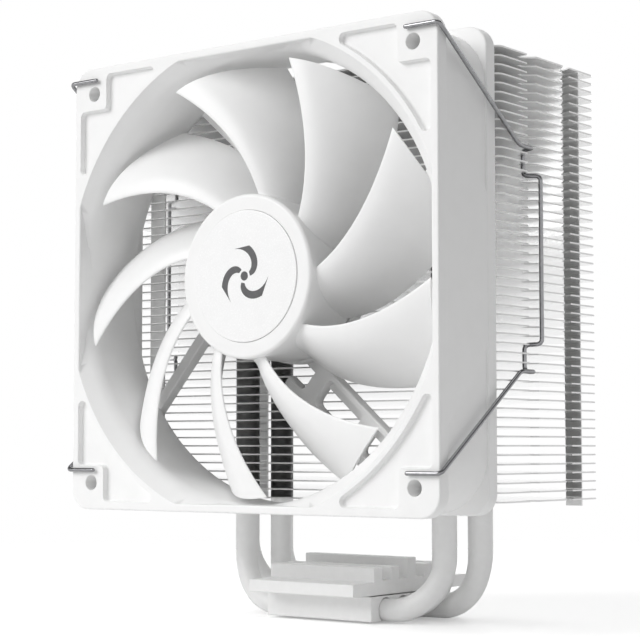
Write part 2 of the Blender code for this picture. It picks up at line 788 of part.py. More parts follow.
def make_coil(index, collection):
    """A coil wound round one pole's neck, as one ring of rectangular section."""
    near, far = COIL_DEPTH
    hole_y = NECK_HALF_WIDTH + GAP
    hole_z = CORE_HALF_HEIGHT + GAP
    out_y, out_z = hole_y + COIL_WIRE, hole_z + COIL_WIRE
    name = f"stator_coil_{index + 1}"
    coil = block(name, (near, -out_y, -out_z), (far, out_y, out_z), collection)
    end = POLE_RADIUS
    hole = block("neck_hole", (0.0, -hole_y, -hole_z), (end, hole_y, hole_z), collection)
    coil = combine(coil, [hole], "DIFFERENCE")
    return placed(coil, Matrix.Rotation(2 * math.pi * index / POLES, 4, "Z"))


def make_fan(materials, collection):
    """The fan's pieces, on one empty that stands for its axis."""
    front_turn = Matrix.Rotation(math.pi / 2, 4, "X")
    centre = Matrix.Translation((0, FAN_REAR_Y - FAN_DEPTH / 2, FAN_CENTRE_Z))
    axis = add_empty("fan_axis", centre @ front_turn, collection)
    rear = -FAN_DEPTH / 2
    disc_z = (HUB_DISC_FRONT - HUB_DISC_THICKNESS, HUB_DISC_FRONT)
    label_z = (rear, rear + LABEL_THICKNESS)
    board_bore = TUBE_RADIUS + GAP
    made = [
        (make_fan_frame(collection), "plastic"),
        (make_impeller(collection), "plastic"),
        (rod("hub_disc", HUB_DISC_RADIUS, *disc_z, collection, sides=32), "disc"),
        (make_yoke(collection), "steel"),
        (ring("magnet_ring", MAGNET_RADIUS, MAGNET_BORE, *MAGNET_Z, collection, 24), "magnet"),
        (make_shaft(collection), "steel"),
        (ring("shaft_ring", RING_RADIUS, RING_BORE, *RING_Z, collection, 12), "steel"),
        (ring("bearing_sleeve", BEARING_RADIUS, BEARING_BORE, *BEARING_Z, collection, 16), "bronze"),
        (rod("bearing_cap", BEARING_RADIUS, *CAP_Z, collection, sides=16), "steel"),
        (make_stator_core(collection), "lamination"),
        (ring("fan_circuit_board", BOARD_RADIUS, board_bore, *BOARD_Z, collection, 24), "board"),
        (rod("rear_disc", LABEL_RADIUS, *label_z, collection, sides=32), "disc"),
    ]
    made += [(make_coil(index, collection), "copper") for index in range(POLES)]
    for obj, slot in made:
        finish_piece(obj, materials[slot], axis)


# Clips


def rounded_path(corners, reach, steps=2):
    """The corners' polyline with each inner corner turned into a short curve."""
    points = [Vector(corners[0])]
    for before, corner, after in zip(corners, corners[1:], corners[2:]):
        before, corner, after = Vector(before), Vector(corner), Vector(after)
        start = corner + (before - corner).normalized() * min(reach, (before - corner).length / 2.2)
        end = corner + (after - corner).normalized() * min(reach, (after - corner).length / 2.2)
        for step in range(steps + 1):
            t = step / steps
            points.append(start * (1 - t) ** 2 + corner * 2 * t * (1 - t) + end * t * t)
    points.append(Vector(corners[-1]))
    return points


def make_clip(side, materials, collection):
    """A clip whose tips lie on the fan's face and whose middle drops into the fins' notches."""
    sign = 1 if side == "right" else -1
    pivot = Vector((sign * CLIP_AXIS_X, CLIP_FACE_Y, CLIP_MIDDLE_Z))
    hinge = add_empty(f"clip_{side}_hinge", Matrix.Translation(pivot), collection)
    half = [(sign * x, y, z) for x, y, z in CLIP_ROUTE]
    corners = half + [(x, y, -z) for x, y, z in reversed(half)]
    start = Vector((pivot.x, pivot.y, 0.0))
    path = [point - start for point in rounded_path(corners, CLIP_BEND)]
    clip = tube(f"wire_clip_{side}", path, WIRE_RADIUS, collection)
    finish_piece(clip, materials["wire"], hinge, 60.0)


def main():
    clear_scene()
    collection = new_collection(MODEL)
    materials = make_materials()
    finish_piece(make_contact_block(collection), materials["paint"])
    finish_piece(make_base_cover(collection), materials["paint"])
    for index in range(len(PIPE_LEGS)):
        finish_piece(make_heat_pipe(index, collection), materials["paint"])
    make_fins(materials, collection)
    make_fan(materials, collection)
    for side in ("left", "right"):
        make_clip(side, materials, collection)


main()
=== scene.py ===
"""Looks of the tower cooler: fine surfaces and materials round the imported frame, light and camera.

Metres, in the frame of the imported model. Parts of the fan are made in the fan's own axes, whose
+Z points out of its front, and are then turned into place on its axis.
"""

import json
import math

import bmesh
import bpy
from mathutils import Matrix, Vector


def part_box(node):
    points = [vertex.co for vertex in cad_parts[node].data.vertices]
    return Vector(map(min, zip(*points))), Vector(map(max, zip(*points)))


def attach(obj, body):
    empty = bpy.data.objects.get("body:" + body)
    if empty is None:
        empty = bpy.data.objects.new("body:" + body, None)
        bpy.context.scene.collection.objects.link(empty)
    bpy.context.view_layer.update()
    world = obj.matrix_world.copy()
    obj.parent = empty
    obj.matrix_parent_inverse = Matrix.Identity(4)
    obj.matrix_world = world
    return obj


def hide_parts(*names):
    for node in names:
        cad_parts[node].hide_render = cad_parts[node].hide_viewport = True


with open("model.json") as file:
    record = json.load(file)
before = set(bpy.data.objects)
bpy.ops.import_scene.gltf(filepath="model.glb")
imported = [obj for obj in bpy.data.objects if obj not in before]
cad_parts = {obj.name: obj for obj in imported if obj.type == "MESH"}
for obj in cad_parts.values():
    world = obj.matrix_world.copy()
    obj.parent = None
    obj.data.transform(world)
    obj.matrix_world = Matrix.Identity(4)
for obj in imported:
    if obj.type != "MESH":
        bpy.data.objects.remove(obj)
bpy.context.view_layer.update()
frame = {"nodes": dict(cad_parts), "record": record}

# Camera and light
CAMERA_PLACE = (0.28951, -0.39260, 0.04501)
CAMERA_TURN = (94.04, 0.0, 37.667)
CAMERA_LENS = 100.65
SENSOR_WIDTH = 36.0
CAMERA_NEAR = 0.01
BACKGROUND = 1.0
AMBIENT = 0.44
HORIZON_GLOSS = 1.0
CEILING_GLOSS = 0.15
GLOSS_FADE = (0.15, 0.60)
DIFFUSE_BOUNCES = 10
# For each light: place, width, height and power in watts. They all aim at the object's middle.
OBJECT_MIDDLE = (0.0, -0.01, 0.085)
LIGHTS = {
    "key": ((-0.70, -1.20, 0.90), 1.0, 1.0, 16.0),
    "top": ((0.0, 0.25, 1.30), 1.1, 0.7, 2.5),
    "back_rim": ((-0.35, 1.30, 0.65), 1.0, 0.8, 4.0),
}
FLOOR_Z = -0.0006
FLOOR_RADIUS = 0.9
FLOOR_GLOW = 0.30
FLOOR_COLOUR = (0.93, 0.93, 0.93, 1.0)
FLOOR_ROUGHNESS = 0.7
FLOOR_FADE = (0.12, 0.42)

# Materials: the range of a noise that is used, and how strongly patches and grain stand up
NOISE_RANGE = (0.3, 0.7)
PATCH_BUMP = 0.25
GRAIN_BUMP = 0.6

# Round pieces are smooth up to this angle between faces.
SMOOTH_ANGLE = 38.0
ROUND_STEPS = 128
# The most of an edge's length that the rounding of its corner takes up.
CORNER_SHARE = 0.45

# Fan frame, in the fan's own axes
FLANGE = 0.0039
FLANGE_CORNER = 0.0055
EDGE = 0.00045
BODY_HALF = 0.0590
BODY_CORNER = 0.0140
CONE_HALF = 0.05945
CONE_FRONT_RADIUS = 0.0713
CONE_REAR_RADIUS = 0.0613
DUCT_RADIUS = 0.0575
MOUTH_RADIUS = 0.0617
MOUTH_DEPTH = 0.0065
FLARE_ELBOW = 0.62
FLARE_STRAIGHT = 0.55
FLARE_RIM = 0.4
FLARE_RIM_MIDDLE = (0.4, 0.3)
DUCT_SIDE_EDGE = EDGE * 0.3
OUTLET_RADIUS = 0.0610
OUTLET_DEPTH = 0.0045
CUTTER_REACH = 0.0010
SCREW_HOLE_SPACING = 0.1050
SCREW_HOLE_RADIUS = 0.0020
SCREW_HOLE_EDGE = 0.00012
POCKET_DEPTH = 0.0015
REAR_POCKET_DEPTH = 0.0150
POCKET_RIM = 0.0573
POCKET_ARC_RADIUS = 0.0633
POCKET_CORNER = 0.0015
POCKET_FILLET = 0.0005
POCKET_TIP_RADIUS = 0.0013
POCKET_RIM_EDGE = EDGE * 0.6
PAD_EDGE = 0.0478
MOUNT_RADIUS = 0.0215
MOUNT_THICKNESS = 0.0035
MOUNT_FILLET = 0.0008
STRUT_OFFSET = 0.0159
STRUT_WIDTH = 0.0030
STRUT_END_RADIUS = 0.0622
LADDER_ANGLE = -41.0
LADDER_INNER = (0.0104, 0.0120)
LADDER_OUTER = (0.0198, 0.0228)
LADDER_LEDGE = (0.0112, 0.0148)
LEDGE_THICKNESS = 0.0012
LADDER_RUNGS = (0.0230, 0.0420)
RUNG_WIDTH = 0.0050
SLOT_CORNER = 0.0018
SLOT_EDGE = EDGE * 0.5
TUBE_RADIUS = 0.0040
TUBE_BORE = 0.0030
TUBE_TOP = 0.0050
LABEL_GAP = 0.0003

# Rotor, in the fan's own axes
HUB_WALL = 0.0012
HUB_EDGE = 0.0010
HUB_BOSS_RADIUS = 0.0030
HUB_ROOF = 0.0030
HUB_BOSS_LENGTH = 0.0020
SHAFT_BORE = 0.0013
DISC_GROOVE = 0.00008
DISC_EDGE = 0.00012
DISC_RISE = 0.0003
# A disc's rounded rim, in edges: how far in from the rim and down from the face each point lies.
DISC_RIM = ((1.5, 0.0), (0.4, 0.35), (0.0, 1.0))
BLADE_COUNT = 9
BLADE_TIP_RADIUS = 0.0558
BLADE_THICKNESS = 0.0015
BLADE_EDGE_THICKNESS = 0.0007
BLADE_ROOT_FLARE = 0.0012
BLADE_ROOT_REACH = 0.0020
BLADE_ROOT_SHARES = (-0.013, 0.01, 0.02, 0.03, 0.045)
BLADE_FULLEST = 0.35
BLADE_EDGE_ROUND = 0.04
BLADE_LEAST_ROUND = 0.05
BLADE_CAMBER = 0.82
LEAD_ANGLES = (2.7, 21.4, 36.5)
TRAIL_ANGLES = (-30.6, -6.7, 10.2)
LEAD_Z = (0.0088, 0.0102, 0.0100)
TRAIL_Z = (-0.0073, -0.0057, -0.0062)
BLADE_SPANS = 16
BLADE_CHORDS = 26
EMBLEM_RADIUS = 0.0078
EMBLEM_HEIGHT = 0.00005
EMBLEM_START = 0.24
EMBLEM_DOT = 0.15
EMBLEM_SWEEP = 78.0
EMBLEM_BEND = 1.4
EMBLEM_WIDTH = 34.0
EMBLEM_WIDENING = 1.05

# Fins
FINS_PER_PAIR = 2
FIN_COUNT = 50
FIN_THICKNESS = 0.0004
FIN_PITCH = 0.002272
FIN_CORNER = 0.0020
NOTCH_DEPTH = 0.0029
FRONT_NOTCH_Y = (-0.0112, -0.0112, -0.0089, -0.0067)
REAR_NOTCH_Y = (0.0065, 0.0100, 0.0111, 0.0095)
FRONT_TAB_X = (0.0495, 0.0548)
REAR_TAB_X = (0.0509, 0.0556)
TAB_RELIEF = 0.0003
TAB_BEND = 0.0007
TAB_CLEARANCE = 0.00003
PIPE_HOLE_RADIUS = 0.00305
PIPE_HOLE_EDGE = 0.00010

# Heat pipes
PIPE_RADIUS = 0.0030
PIPE_AXIS_Z = 0.0027
PIPE_PITCH_IN_BASE = 0.0078
PIPE_LEGS = (
    (0.0332, -0.0080, 0.0140),
    (0.0272, 0.0, 0.0100),
    (0.0390, 0.0, 0.0160),
    (0.0332, 0.0080, 0.0140),
)
PIPE_TIP = 0.0042
PIPE_NIPPLE = 0.30
PIPE_NIPPLE_END = 0.18
PIPE_NIPPLE_POWER = 0.8
BEND_STEPS = 24

# Base
RIDGE_PITCH = 0.0076
RIDGE_WIDTH = 0.0038
RIDGES_EACH_SIDE = 2
RIDGE_TOP = 0.0138
GROOVE_FLOOR = 0.0104
LIP_TOP = 0.0100
LIP_HOLE = (0.0115, 0.0222)
LIP_HOLE_RADIUS = 0.0015
BASE_EDGE = 0.00022
BASE_CORNER = 0.00045
GROOVE_CLEARANCE = 0.00025

# Wire clips, for the one on the right: x and y across, and half heights about the clip's middle
CLIP_ROUTE = (
    (0.0505, -0.05065, 0.05255),
    (0.06045, -0.05065, 0.05255),
    (0.0612, -0.0163, 0.0279),
    (0.0612, -0.0097, 0.0279),
    (0.05835, -0.0100, 0.0278),
    (0.05835, -0.0100, 0.02115),
    (0.0625, -0.0085, 0.02100),
)
WIRE_RADIUS = 0.00055
CLIP_BEND = 0.0014
CLIP_BEND_SHARE = 0.4545
# The wire's rounded end: shares of its radius from the end, and the scale of the wire there.
CLIP_END = ((0.0, 0.35), (0.15, 0.7), (0.45, 0.93))

ALONG_X = Matrix(((0, 0, 1, 0), (1, 0, 0, 0), (0, 1, 0, 0), (0, 0, 0, 1)))


# Places read from the frame


def joint_point(name):
    for joint in frame["record"]["behaviour"]["joints"]:
        if joint["name"] == name:
            return Vector(joint["pos_m"])
    raise ValueError(name)


FAN_LOW, FAN_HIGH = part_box("fan_frame")
FAN_HALF = (FAN_HIGH.x - FAN_LOW.x) / 2
FAN_DEPTH = FAN_HIGH.y - FAN_LOW.y
FAN_CENTRE = joint_point("impeller_spin")
FAN_AXIS = Matrix.Translation(FAN_CENTRE) @ Matrix.Rotation(math.pi / 2, 4, "X")
HUB_RADIUS = 0.0210
HUB_REAR = FAN_CENTRE.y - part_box("impeller")[1].y
DISC_LOW, DISC_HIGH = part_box("hub_disc")
DISC_RADIUS = (DISC_HIGH.x - DISC_LOW.x) / 2
DISC_Z = (FAN_CENTRE.y - DISC_HIGH.y, FAN_CENTRE.y - DISC_LOW.y)
HUB_FRONT = DISC_Z[1] - DISC_RISE
LABEL_LOW, LABEL_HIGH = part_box("rear_disc")
LABEL_RADIUS = (LABEL_HIGH.x - LABEL_LOW.x) / 2
LABEL_Z = (FAN_CENTRE.y - LABEL_HIGH.y, FAN_CENTRE.y - LABEL_LOW.y)
COVER_LOW, COVER_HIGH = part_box("base_cover")
BLOCK_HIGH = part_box("contact_block")[1]
FIN_LOW, FIN_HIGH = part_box("fin_pair_02")
FINS_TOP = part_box("fin_pair_01")[1].z
PIPE_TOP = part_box("heat_pipe_1")[1].z


# Materials


def node_of(tree, kind, **values):
    made = tree.nodes.new(kind)
    for name, value in values.items():
        if hasattr(made, name):
            setattr(made, name, value)
        else:
            made.inputs[name.replace("_", " ")].default_value = value
    return made


def noise(tree, scale, detail=3.0, stretch=(1.0, 1.0, 1.0)):
    """A noise in the piece's own coordinates, with a scale in cells per metre."""
    place = node_of(tree, "ShaderNodeTexCoord")
    mapping = node_of(tree, "ShaderNodeMapping")
    mapping.inputs["Scale"].default_value = stretch
    made = node_of(tree, "ShaderNodeTexNoise", Scale=scale, Detail=detail, Roughness=0.6)
    tree.links.new(place.outputs["Object"], mapping.inputs["Vector"])
    tree.links.new(mapping.outputs["Vector"], made.inputs["Vector"])
    return made.outputs["Fac"]


def spread(tree, value, low, high):
    """Maps a noise's middle range onto low to high."""
    made = node_of(tree, "ShaderNodeMapRange", clamp=True)
    made.inputs["From Min"].default_value = NOISE_RANGE[0]
    made.inputs["From Max"].default_value = NOISE_RANGE[1]
    made.inputs["To Min"].default_value = low
    made.inputs["To Max"].default_value = high
    tree.links.new(value, made.inputs["Value"])
    return made.outputs["Result"]


def tinted(tree, value, first, second):
    """A colour that goes from first to second with the noise."""
    ramp = node_of(tree, "ShaderNodeValToRGB")
    for element, position, colour in zip(ramp.color_ramp.elements, NOISE_RANGE, (first, second)):
        element.position = position
        element.color = (*colour, 1.0)
    tree.links.new(value, ramp.inputs["Fac"])
    return ramp.outputs["Color"]


def bumped(tree, value, strength, distance, under=None):
    made = node_of(tree, "ShaderNodeBump", Strength=strength, Distance=distance)
    tree.links.new(value, made.inputs["Height"])
    if under is not None:
        tree.links.new(under, made.inputs["Normal"])
    return made.outputs["Normal"]


def surface(
    name, dark, light, roughness, patch, grain, depth, metallic=0.0, stretch=(1.0, 1.0, 1.0), **fixed
):
    """A surface with broad patches of colour and gloss, and a fine grain that stands up by depth."""
    made = bpy.data.materials.new(name)
    made.use_nodes = True
    tree = made.node_tree
    shader = tree.nodes["Principled BSDF"]
    shader.inputs["Metallic"].default_value = metallic
    for socket, value in fixed.items():
        shader.inputs[socket.replace("_", " ")].default_value = value
    patches = noise(tree, patch)
    fine = noise(tree, grain, 4.0, stretch)
    tree.links.new(tinted(tree, patches, dark, light), shader.inputs["Base Color"])
    tree.links.new(spread(tree, fine, *roughness), shader.inputs["Roughness"])
    broad = bumped(tree, patches, PATCH_BUMP, depth * 2)
    tree.links.new(bumped(tree, fine, GRAIN_BUMP, depth, broad), shader.inputs["Normal"])
    return made


def make_materials():
    white = dict(Specular_IOR_Level=0.45)
    return {
        "base_paint": surface(
            "white_base_paint", (0.87, 0.87, 0.867), (0.90, 0.90, 0.897), (0.30, 0.44),
            420.0, 3200.0, 0.000020, **white,
        ),
        "pipe_paint": surface(
            "white_pipe_paint", (0.87, 0.87, 0.867), (0.90, 0.90, 0.897), (0.30, 0.46),
            500.0, 2600.0, 0.000025, **white,
        ),
        "fin_paint": surface(
            "white_fin_paint", (0.90, 0.90, 0.897), (0.93, 0.93, 0.927), (0.14, 0.24),
            260.0, 3000.0, 0.000006, **white, Coat_Weight=1.0, Coat_Roughness=0.06,
        ),
        "frame_plastic": surface(
            "white_frame_plastic", (0.905, 0.905, 0.902), (0.925, 0.925, 0.923), (0.40, 0.54),
            180.0, 4200.0, 0.000022, **white,
        ),
        "blade_plastic": surface(
            "white_blade_plastic", (0.91, 0.91, 0.908), (0.93, 0.93, 0.928), (0.30, 0.42),
            150.0, 3600.0, 0.000010, **white,
        ),
        "disc_film": surface(
            "white_disc_film", (0.93, 0.93, 0.93), (0.95, 0.95, 0.95), (0.22, 0.30),
            300.0, 2400.0, 0.000006, Coat_Weight=0.25, Coat_Roughness=0.15,
        ),
        "emblem_ink": surface(
            "dark_emblem_ink", (0.075, 0.075, 0.078), (0.10, 0.10, 0.103), (0.40, 0.55),
            800.0, 5000.0, 0.000006,
        ),
        "spring_steel": surface(
            "drawn_spring_steel", (0.26, 0.26, 0.27), (0.34, 0.34, 0.35), (0.08, 0.18),
            900.0, 2200.0, 0.000010, 1.0, (1.0, 1.0, 0.08),
        ),
        "plain_steel": surface(
            "turned_steel", (0.48, 0.48, 0.49), (0.60, 0.60, 0.61), (0.22, 0.42),
            700.0, 1800.0, 0.000012, 1.0, (1.0, 0.1, 1.0),
        ),
        "ferrite": surface(
            "sintered_ferrite", (0.045, 0.043, 0.042), (0.08, 0.078, 0.076), (0.55, 0.75),
            900.0, 4200.0, 0.000030,
        ),
        "laminated_steel": surface(
            "stacked_steel_sheets", (0.20, 0.20, 0.21), (0.42, 0.42, 0.43), (0.35, 0.55),
            600.0, 1400.0, 0.000050, 1.0, (0.15, 2.2, 0.15),
        ),
        "enamelled_copper": surface(
            "enamelled_copper_wire", (0.52, 0.18, 0.07), (0.70, 0.30, 0.12), (0.22, 0.38),
            700.0, 1700.0, 0.000060, 1.0, (2.2, 0.2, 2.2),
        ),
        "circuit_board": surface(
            "green_solder_mask", (0.015, 0.13, 0.05), (0.03, 0.20, 0.08), (0.25, 0.40),
            1200.0, 2600.0, 0.000020,
        ),
        "sintered_bronze": surface(
            "sintered_bronze_metal", (0.40, 0.26, 0.12), (0.58, 0.40, 0.20), (0.40, 0.60),
            1500.0, 5200.0, 0.000030, 1.0,
        ),
    }


# Shapes


def object_from(name, shape):
    mesh = bpy.data.meshes.new(name)
    shape.to_mesh(mesh)
    shape.free()
    obj = bpy.data.objects.new(name, mesh)
    bpy.context.scene.collection.objects.link(obj)
    return obj


def bake(obj, helpers=()):
    """Turns an object into a plain mesh and drops the helpers that its modifiers used."""
    graph = bpy.context.evaluated_depsgraph_get()
    mesh = bpy.data.meshes.new_from_object(obj.evaluated_get(graph))
    shape = bmesh.new()
    shape.from_mesh(mesh)
    bmesh.ops.remove_doubles(shape, verts=shape.verts, dist=1e-6)
    bmesh.ops.recalc_face_normals(shape, faces=shape.faces)
    name = obj.name
    for used in (obj, *helpers):
        bpy.data.objects.remove(used, do_unlink=True)
    return object_from(name, shape)


def combine(obj, helpers, operation):
    for helper in helpers:
        modifier = obj.modifiers.new(helper.name, "BOOLEAN")
        modifier.solver = "EXACT"
        modifier.operation = operation
        modifier.object = helper
    return bake(obj, helpers)


def placed(obj, matrix):
    obj.data.transform(matrix)
    return obj


def polar(radius, degrees):
    angle = math.radians(degrees)
    return (radius * math.cos(angle), radius * math.sin(angle))


def arc(centre, radius, start, end, steps):
    """Points along an arc, with angles in degrees."""
    points = []
    for step in range(steps + 1):
        x, y = polar(radius, start + (end - start) * step / steps)
        points.append((centre[0] + x, centre[1] + y))
    return points


def rounded_square(half, radius, steps=12):
    inner = half - radius
    points = []
    for quarter, (sx, sy) in enumerate(((1, 1), (-1, 1), (-1, -1), (1, -1))):
        points += arc((sx * inner, sy * inner), radius, 90 * quarter, 90 * quarter + 90, steps)
    return points


def soften(outline, radius, steps=4, least_turn=25.0):
    """An outline whose clear corners are turned into small arcs."""
    points = []
    count = len(outline)
    for i, point in enumerate(outline):
        here = Vector(point)
        before = Vector(outline[i - 1]) - here
        after = Vector(outline[(i + 1) % count]) - here
        turn = 180.0 - math.degrees(before.angle(after))
        if turn < least_turn:
            points.append(tuple(here))
            continue
        reach = radius * math.tan(math.radians(turn) / 2)
        reach = min(reach, CORNER_SHARE * before.length, CORNER_SHARE * after.length)
        start = here + before.normalized() * reach
        end = here + after.normalized() * reach
        for step in range(steps + 1):
            t = step / steps
            points.append(tuple(start * (1 - t) ** 2 + here * 2 * t * (1 - t) + end * t * t))
    return points


def shifted(outline, distance):
    """The outline moved outwards by a distance; its points run anticlockwise."""
    moved = []
    count = len(outline)
    for i, point in enumerate(outline):
        here = Vector(point)
        first = (here - Vector(outline[i - 1])).normalized()
        second = (Vector(outline[(i + 1) % count]) - here).normalized()
        normal = Vector((first.y + second.y, -first.x - second.x))
        scale = distance / max(0.2, 1.0 + first.dot(second))
        moved.append(tuple(here + normal * scale))
    return moved


def is_anticlockwise(outline):
    area = sum(a[0] * b[1] - b[0] * a[1] for a, b in zip(outline, outline[1:] + outline[:1]))
    return area > 0


def cap(shape, ring, upward):
    face = shape.faces.new(ring if upward else list(reversed(ring)))
    face.normal_update()
    bmesh.ops.triangulate(shape, faces=[face])


def skin(shape, rings, closed_ends=True):
    """Quads between rings of vertices, with a cap at either end."""
    for lower, upper in zip(rings, rings[1:]):
        for i in range(len(lower)):
            j = (i + 1) % len(lower)
            shape.faces.new((lower[i], lower[j], upper[j], upper[i]))
    if closed_ends:
        cap(shape, rings[0], False)
        cap(shape, rings[-1], True)


def loft(name, outline, levels):
    """A solid over an outline; each level is a height and how far the outline is moved outwards."""
    if not is_anticlockwise(outline):
        outline = list(reversed(outline))
    shape = bmesh.new()
    rings = []
    for height, distance in levels:
        moved = shifted(outline, distance) if distance else outline
        rings.append([shape.verts.new((x, y, height)) for x, y in moved])
    skin(shape, rings)
    return object_from(name, shape)


def rounded_levels(low, high, edge, steps=3, at_low=True, at_high=True):
    """Levels of a plate whose rims are rounded by edge."""
    quarter = [math.pi / 2 * step / steps for step in range(steps + 1)]
    curve = [(edge * (1 - math.sin(a)), -edge * (1 - math.cos(a))) for a in quarter]
    bottom = [(low + z, d) for z, d in reversed(curve)] if at_low else [(low, 0.0)]
    top = [(high - z, d) for z, d in curve] if at_high else [(high, 0.0)]
    return bottom + top


def rounded_plate(name, outline, low, high, edge, **ends):
    return loft(name, outline, rounded_levels(low, high, edge, **ends))


def turned(name, profile, closed=True, steps=ROUND_STEPS):
    """A profile of (radius, z) points turned about Z; it runs down its outer side."""
    mesh = bpy.data.meshes.new(name)
    ends = [(i, i + 1) for i in range(len(profile) - 1)]
    if closed:
        ends.append((len(profile) - 1, 0))
    mesh.from_pydata([(radius, 0.0, z) for radius, z in profile], ends, [])
    obj = bpy.data.objects.new(name, mesh)
    bpy.context.scene.collection.objects.link(obj)
    screw = obj.modifiers.new("turn", "SCREW")
    screw.steps = steps
    screw.render_steps = steps
    screw.use_merge_vertices = True
    screw.merge_threshold = 1e-6
    return bake(obj)


def tube(name, points, radius, scales=None, resolution=6):
    curve = bpy.data.curves.new(name, "CURVE")
    curve.dimensions = "3D"
    curve.bevel_depth = radius
    curve.bevel_resolution = resolution
    curve.use_fill_caps = True
    spline = curve.splines.new("POLY")
    spline.points.add(len(points) - 1)
    for i, (point, co) in enumerate(zip(spline.points, points)):
        point.co = (*co, 1.0)
        point.radius = scales[i] if scales else 1.0
    obj = bpy.data.objects.new(name, curve)
    bpy.context.scene.collection.objects.link(obj)
    return bake(obj)


def finish(obj, material, body, nodes=(), angle=SMOOTH_ANGLE):
    """Shades a finished piece, hangs it on the empty of the body it rides on, and hides the imported nodes
    that it takes the place of.
    """
    obj.data.materials.clear()
    obj.data.materials.append(material)
    obj.data.shade_smooth()
    obj.data.set_sharp_from_angle(angle=math.radians(angle))
    weighted = obj.modifiers.new("weighted_normals", "WEIGHTED_NORMAL")
    weighted.keep_sharp = True
    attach(obj, body)
    if nodes:
        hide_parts(*nodes)
    return obj


def smooth_step(t):
    return t * t * (3 - 2 * t)


def through_three(values, t):
    """A parabola through three values at t = 0, 0.5 and 1."""
    first, middle, last = values
    return (
        first * (1 - t) * (1 - 2 * t) + middle * 4 * t * (1 - t) + last * t * (2 * t - 1)
    )


# Fan frame


def flare(radius, depth, steps=8):
    """Points (radius, distance from the face) of a duct's end: a crisp rim, a cone, a bend to the bore."""
    elbow = Vector((DUCT_RADIUS, depth * FLARE_ELBOW))
    edge = EDGE * FLARE_RIM
    start = Vector((radius, edge))
    bend = start.lerp(elbow, FLARE_STRAIGHT)
    end = Vector((DUCT_RADIUS, depth))
    points = [(radius + edge, -CUTTER_REACH), (radius + edge, 0.0)]
    points.append((radius + edge * FLARE_RIM_MIDDLE[0], edge * FLARE_RIM_MIDDLE[1]))
    points.append(tuple(start))
    for step in range(steps + 1):
        t = step / steps
        points.append(tuple(bend.lerp(elbow, t).lerp(elbow.lerp(end, t), t)))
    return points


def duct_cutter():
    """The duct's hole: round, with a flared mouth and outlet, and cut off flat at the frame's sides."""
    face = FAN_DEPTH / 2
    mouth = [(radius, face - z) for radius, z in flare(MOUTH_RADIUS, MOUTH_DEPTH)]
    outlet = [(radius, z - face) for radius, z in reversed(flare(OUTLET_RADIUS, OUTLET_DEPTH))]
    ends = (face + CUTTER_REACH, -face - CUTTER_REACH)
    cutter = turned("duct", [(0.0, ends[0]), *mouth, *outlet, (0.0, ends[1])], closed=False)
    square = [(DUCT_RADIUS, DUCT_RADIUS), (-DUCT_RADIUS, DUCT_RADIUS)]
    square += [(-DUCT_RADIUS, -DUCT_RADIUS), (DUCT_RADIUS, -DUCT_RADIUS)]
    levels = [(-face - 2 * CUTTER_REACH, EDGE), (-face, EDGE)]
    levels += [(DUCT_SIDE_EDGE - face, DUCT_SIDE_EDGE), (EDGE - face, 0.0)]
    levels += [(-z, distance) for z, distance in reversed(levels)]
    return combine(cutter, [loft("duct_limit", square, levels)], "INTERSECT")


def pocket_outline():
    """One corner's pocket: round-tipped arms between the duct's arc and the rims, and a pad corner."""
    tip = POCKET_TIP_RADIUS
    along = POCKET_RIM - tip
    across = math.sqrt((POCKET_ARC_RADIUS + tip) ** 2 - along**2)
    touch = math.degrees(math.atan2(along, across))
    outline = arc((0, 0), POCKET_ARC_RADIUS, 90 - touch, touch, 24)
    outline += arc((across, along), tip, 180 + touch, 90, 8)[1:]
    outline += [(PAD_EDGE, POCKET_RIM), (PAD_EDGE, PAD_EDGE), (POCKET_RIM, PAD_EDGE)]
    outline += arc((along, across), tip, 360, 270 - touch, 8)[:-1]
    return soften(outline, POCKET_CORNER, 6)


def pocket_cutters():
    """Pockets with filleted floors and softened rims: shallow in front, deep at the rear."""
    face = FAN_DEPTH / 2
    outline = pocket_outline()
    rim = [(face, POCKET_RIM_EDGE), (face + CUTTER_REACH, POCKET_RIM_EDGE)]
    front = rounded_levels(face - POCKET_DEPTH, face - EDGE, POCKET_FILLET, 4, at_high=False) + rim
    rear = [(-face - CUTTER_REACH, 0.0), (REAR_POCKET_DEPTH - face, 0.0)]
    cutters = []
    for levels in (front, rear):
        for turn in range(4):
            cutter = loft(f"pocket_{len(cutters)}", outline, levels)
            cutters.append(placed(cutter, Matrix.Rotation(turn * math.pi / 2, 4, "Z")))
    return cutters


def screw_drills():
    """The four screw holes, with a slight countersink at both faces."""
    face = FAN_DEPTH / 2
    rim = SCREW_HOLE_RADIUS + SCREW_HOLE_EDGE
    half = SCREW_HOLE_SPACING / 2
    profile = [(0.0, face + CUTTER_REACH), (rim, face + CUTTER_REACH), (rim, face)]
    profile += [(SCREW_HOLE_RADIUS, face - SCREW_HOLE_EDGE)]
    profile += [(SCREW_HOLE_RADIUS, SCREW_HOLE_EDGE - face)]
    profile += [(rim, -face), (rim, -face - CUTTER_REACH), (0.0, -face - CUTTER_REACH)]
    drills = []
    for sx in (-1, 1):
        for sy in (-1, 1):
            drill = turned(f"screw_drill_{len(drills)}", profile, closed=False, steps=40)
            drills.append(placed(drill, Matrix.Translation((sx * half, sy * half, 0))))
    return drills


def side_cone():
    """The cone round the duct, from flange to flange, cut off flat at the frame's sides."""
    top = FAN_DEPTH / 2 - FLANGE / 2
    profile = [(0.0, top), (CONE_FRONT_RADIUS, top), (CONE_REAR_RADIUS, -top), (0.0, -top)]
    cone = turned("side_cone", profile, closed=False)
    square = rounded_square(CONE_HALF, FLANGE_CORNER)
    return combine(cone, [loft("side_limit", square, [(-top * 2, 0.0), (top * 2, 0.0)])], "INTERSECT")


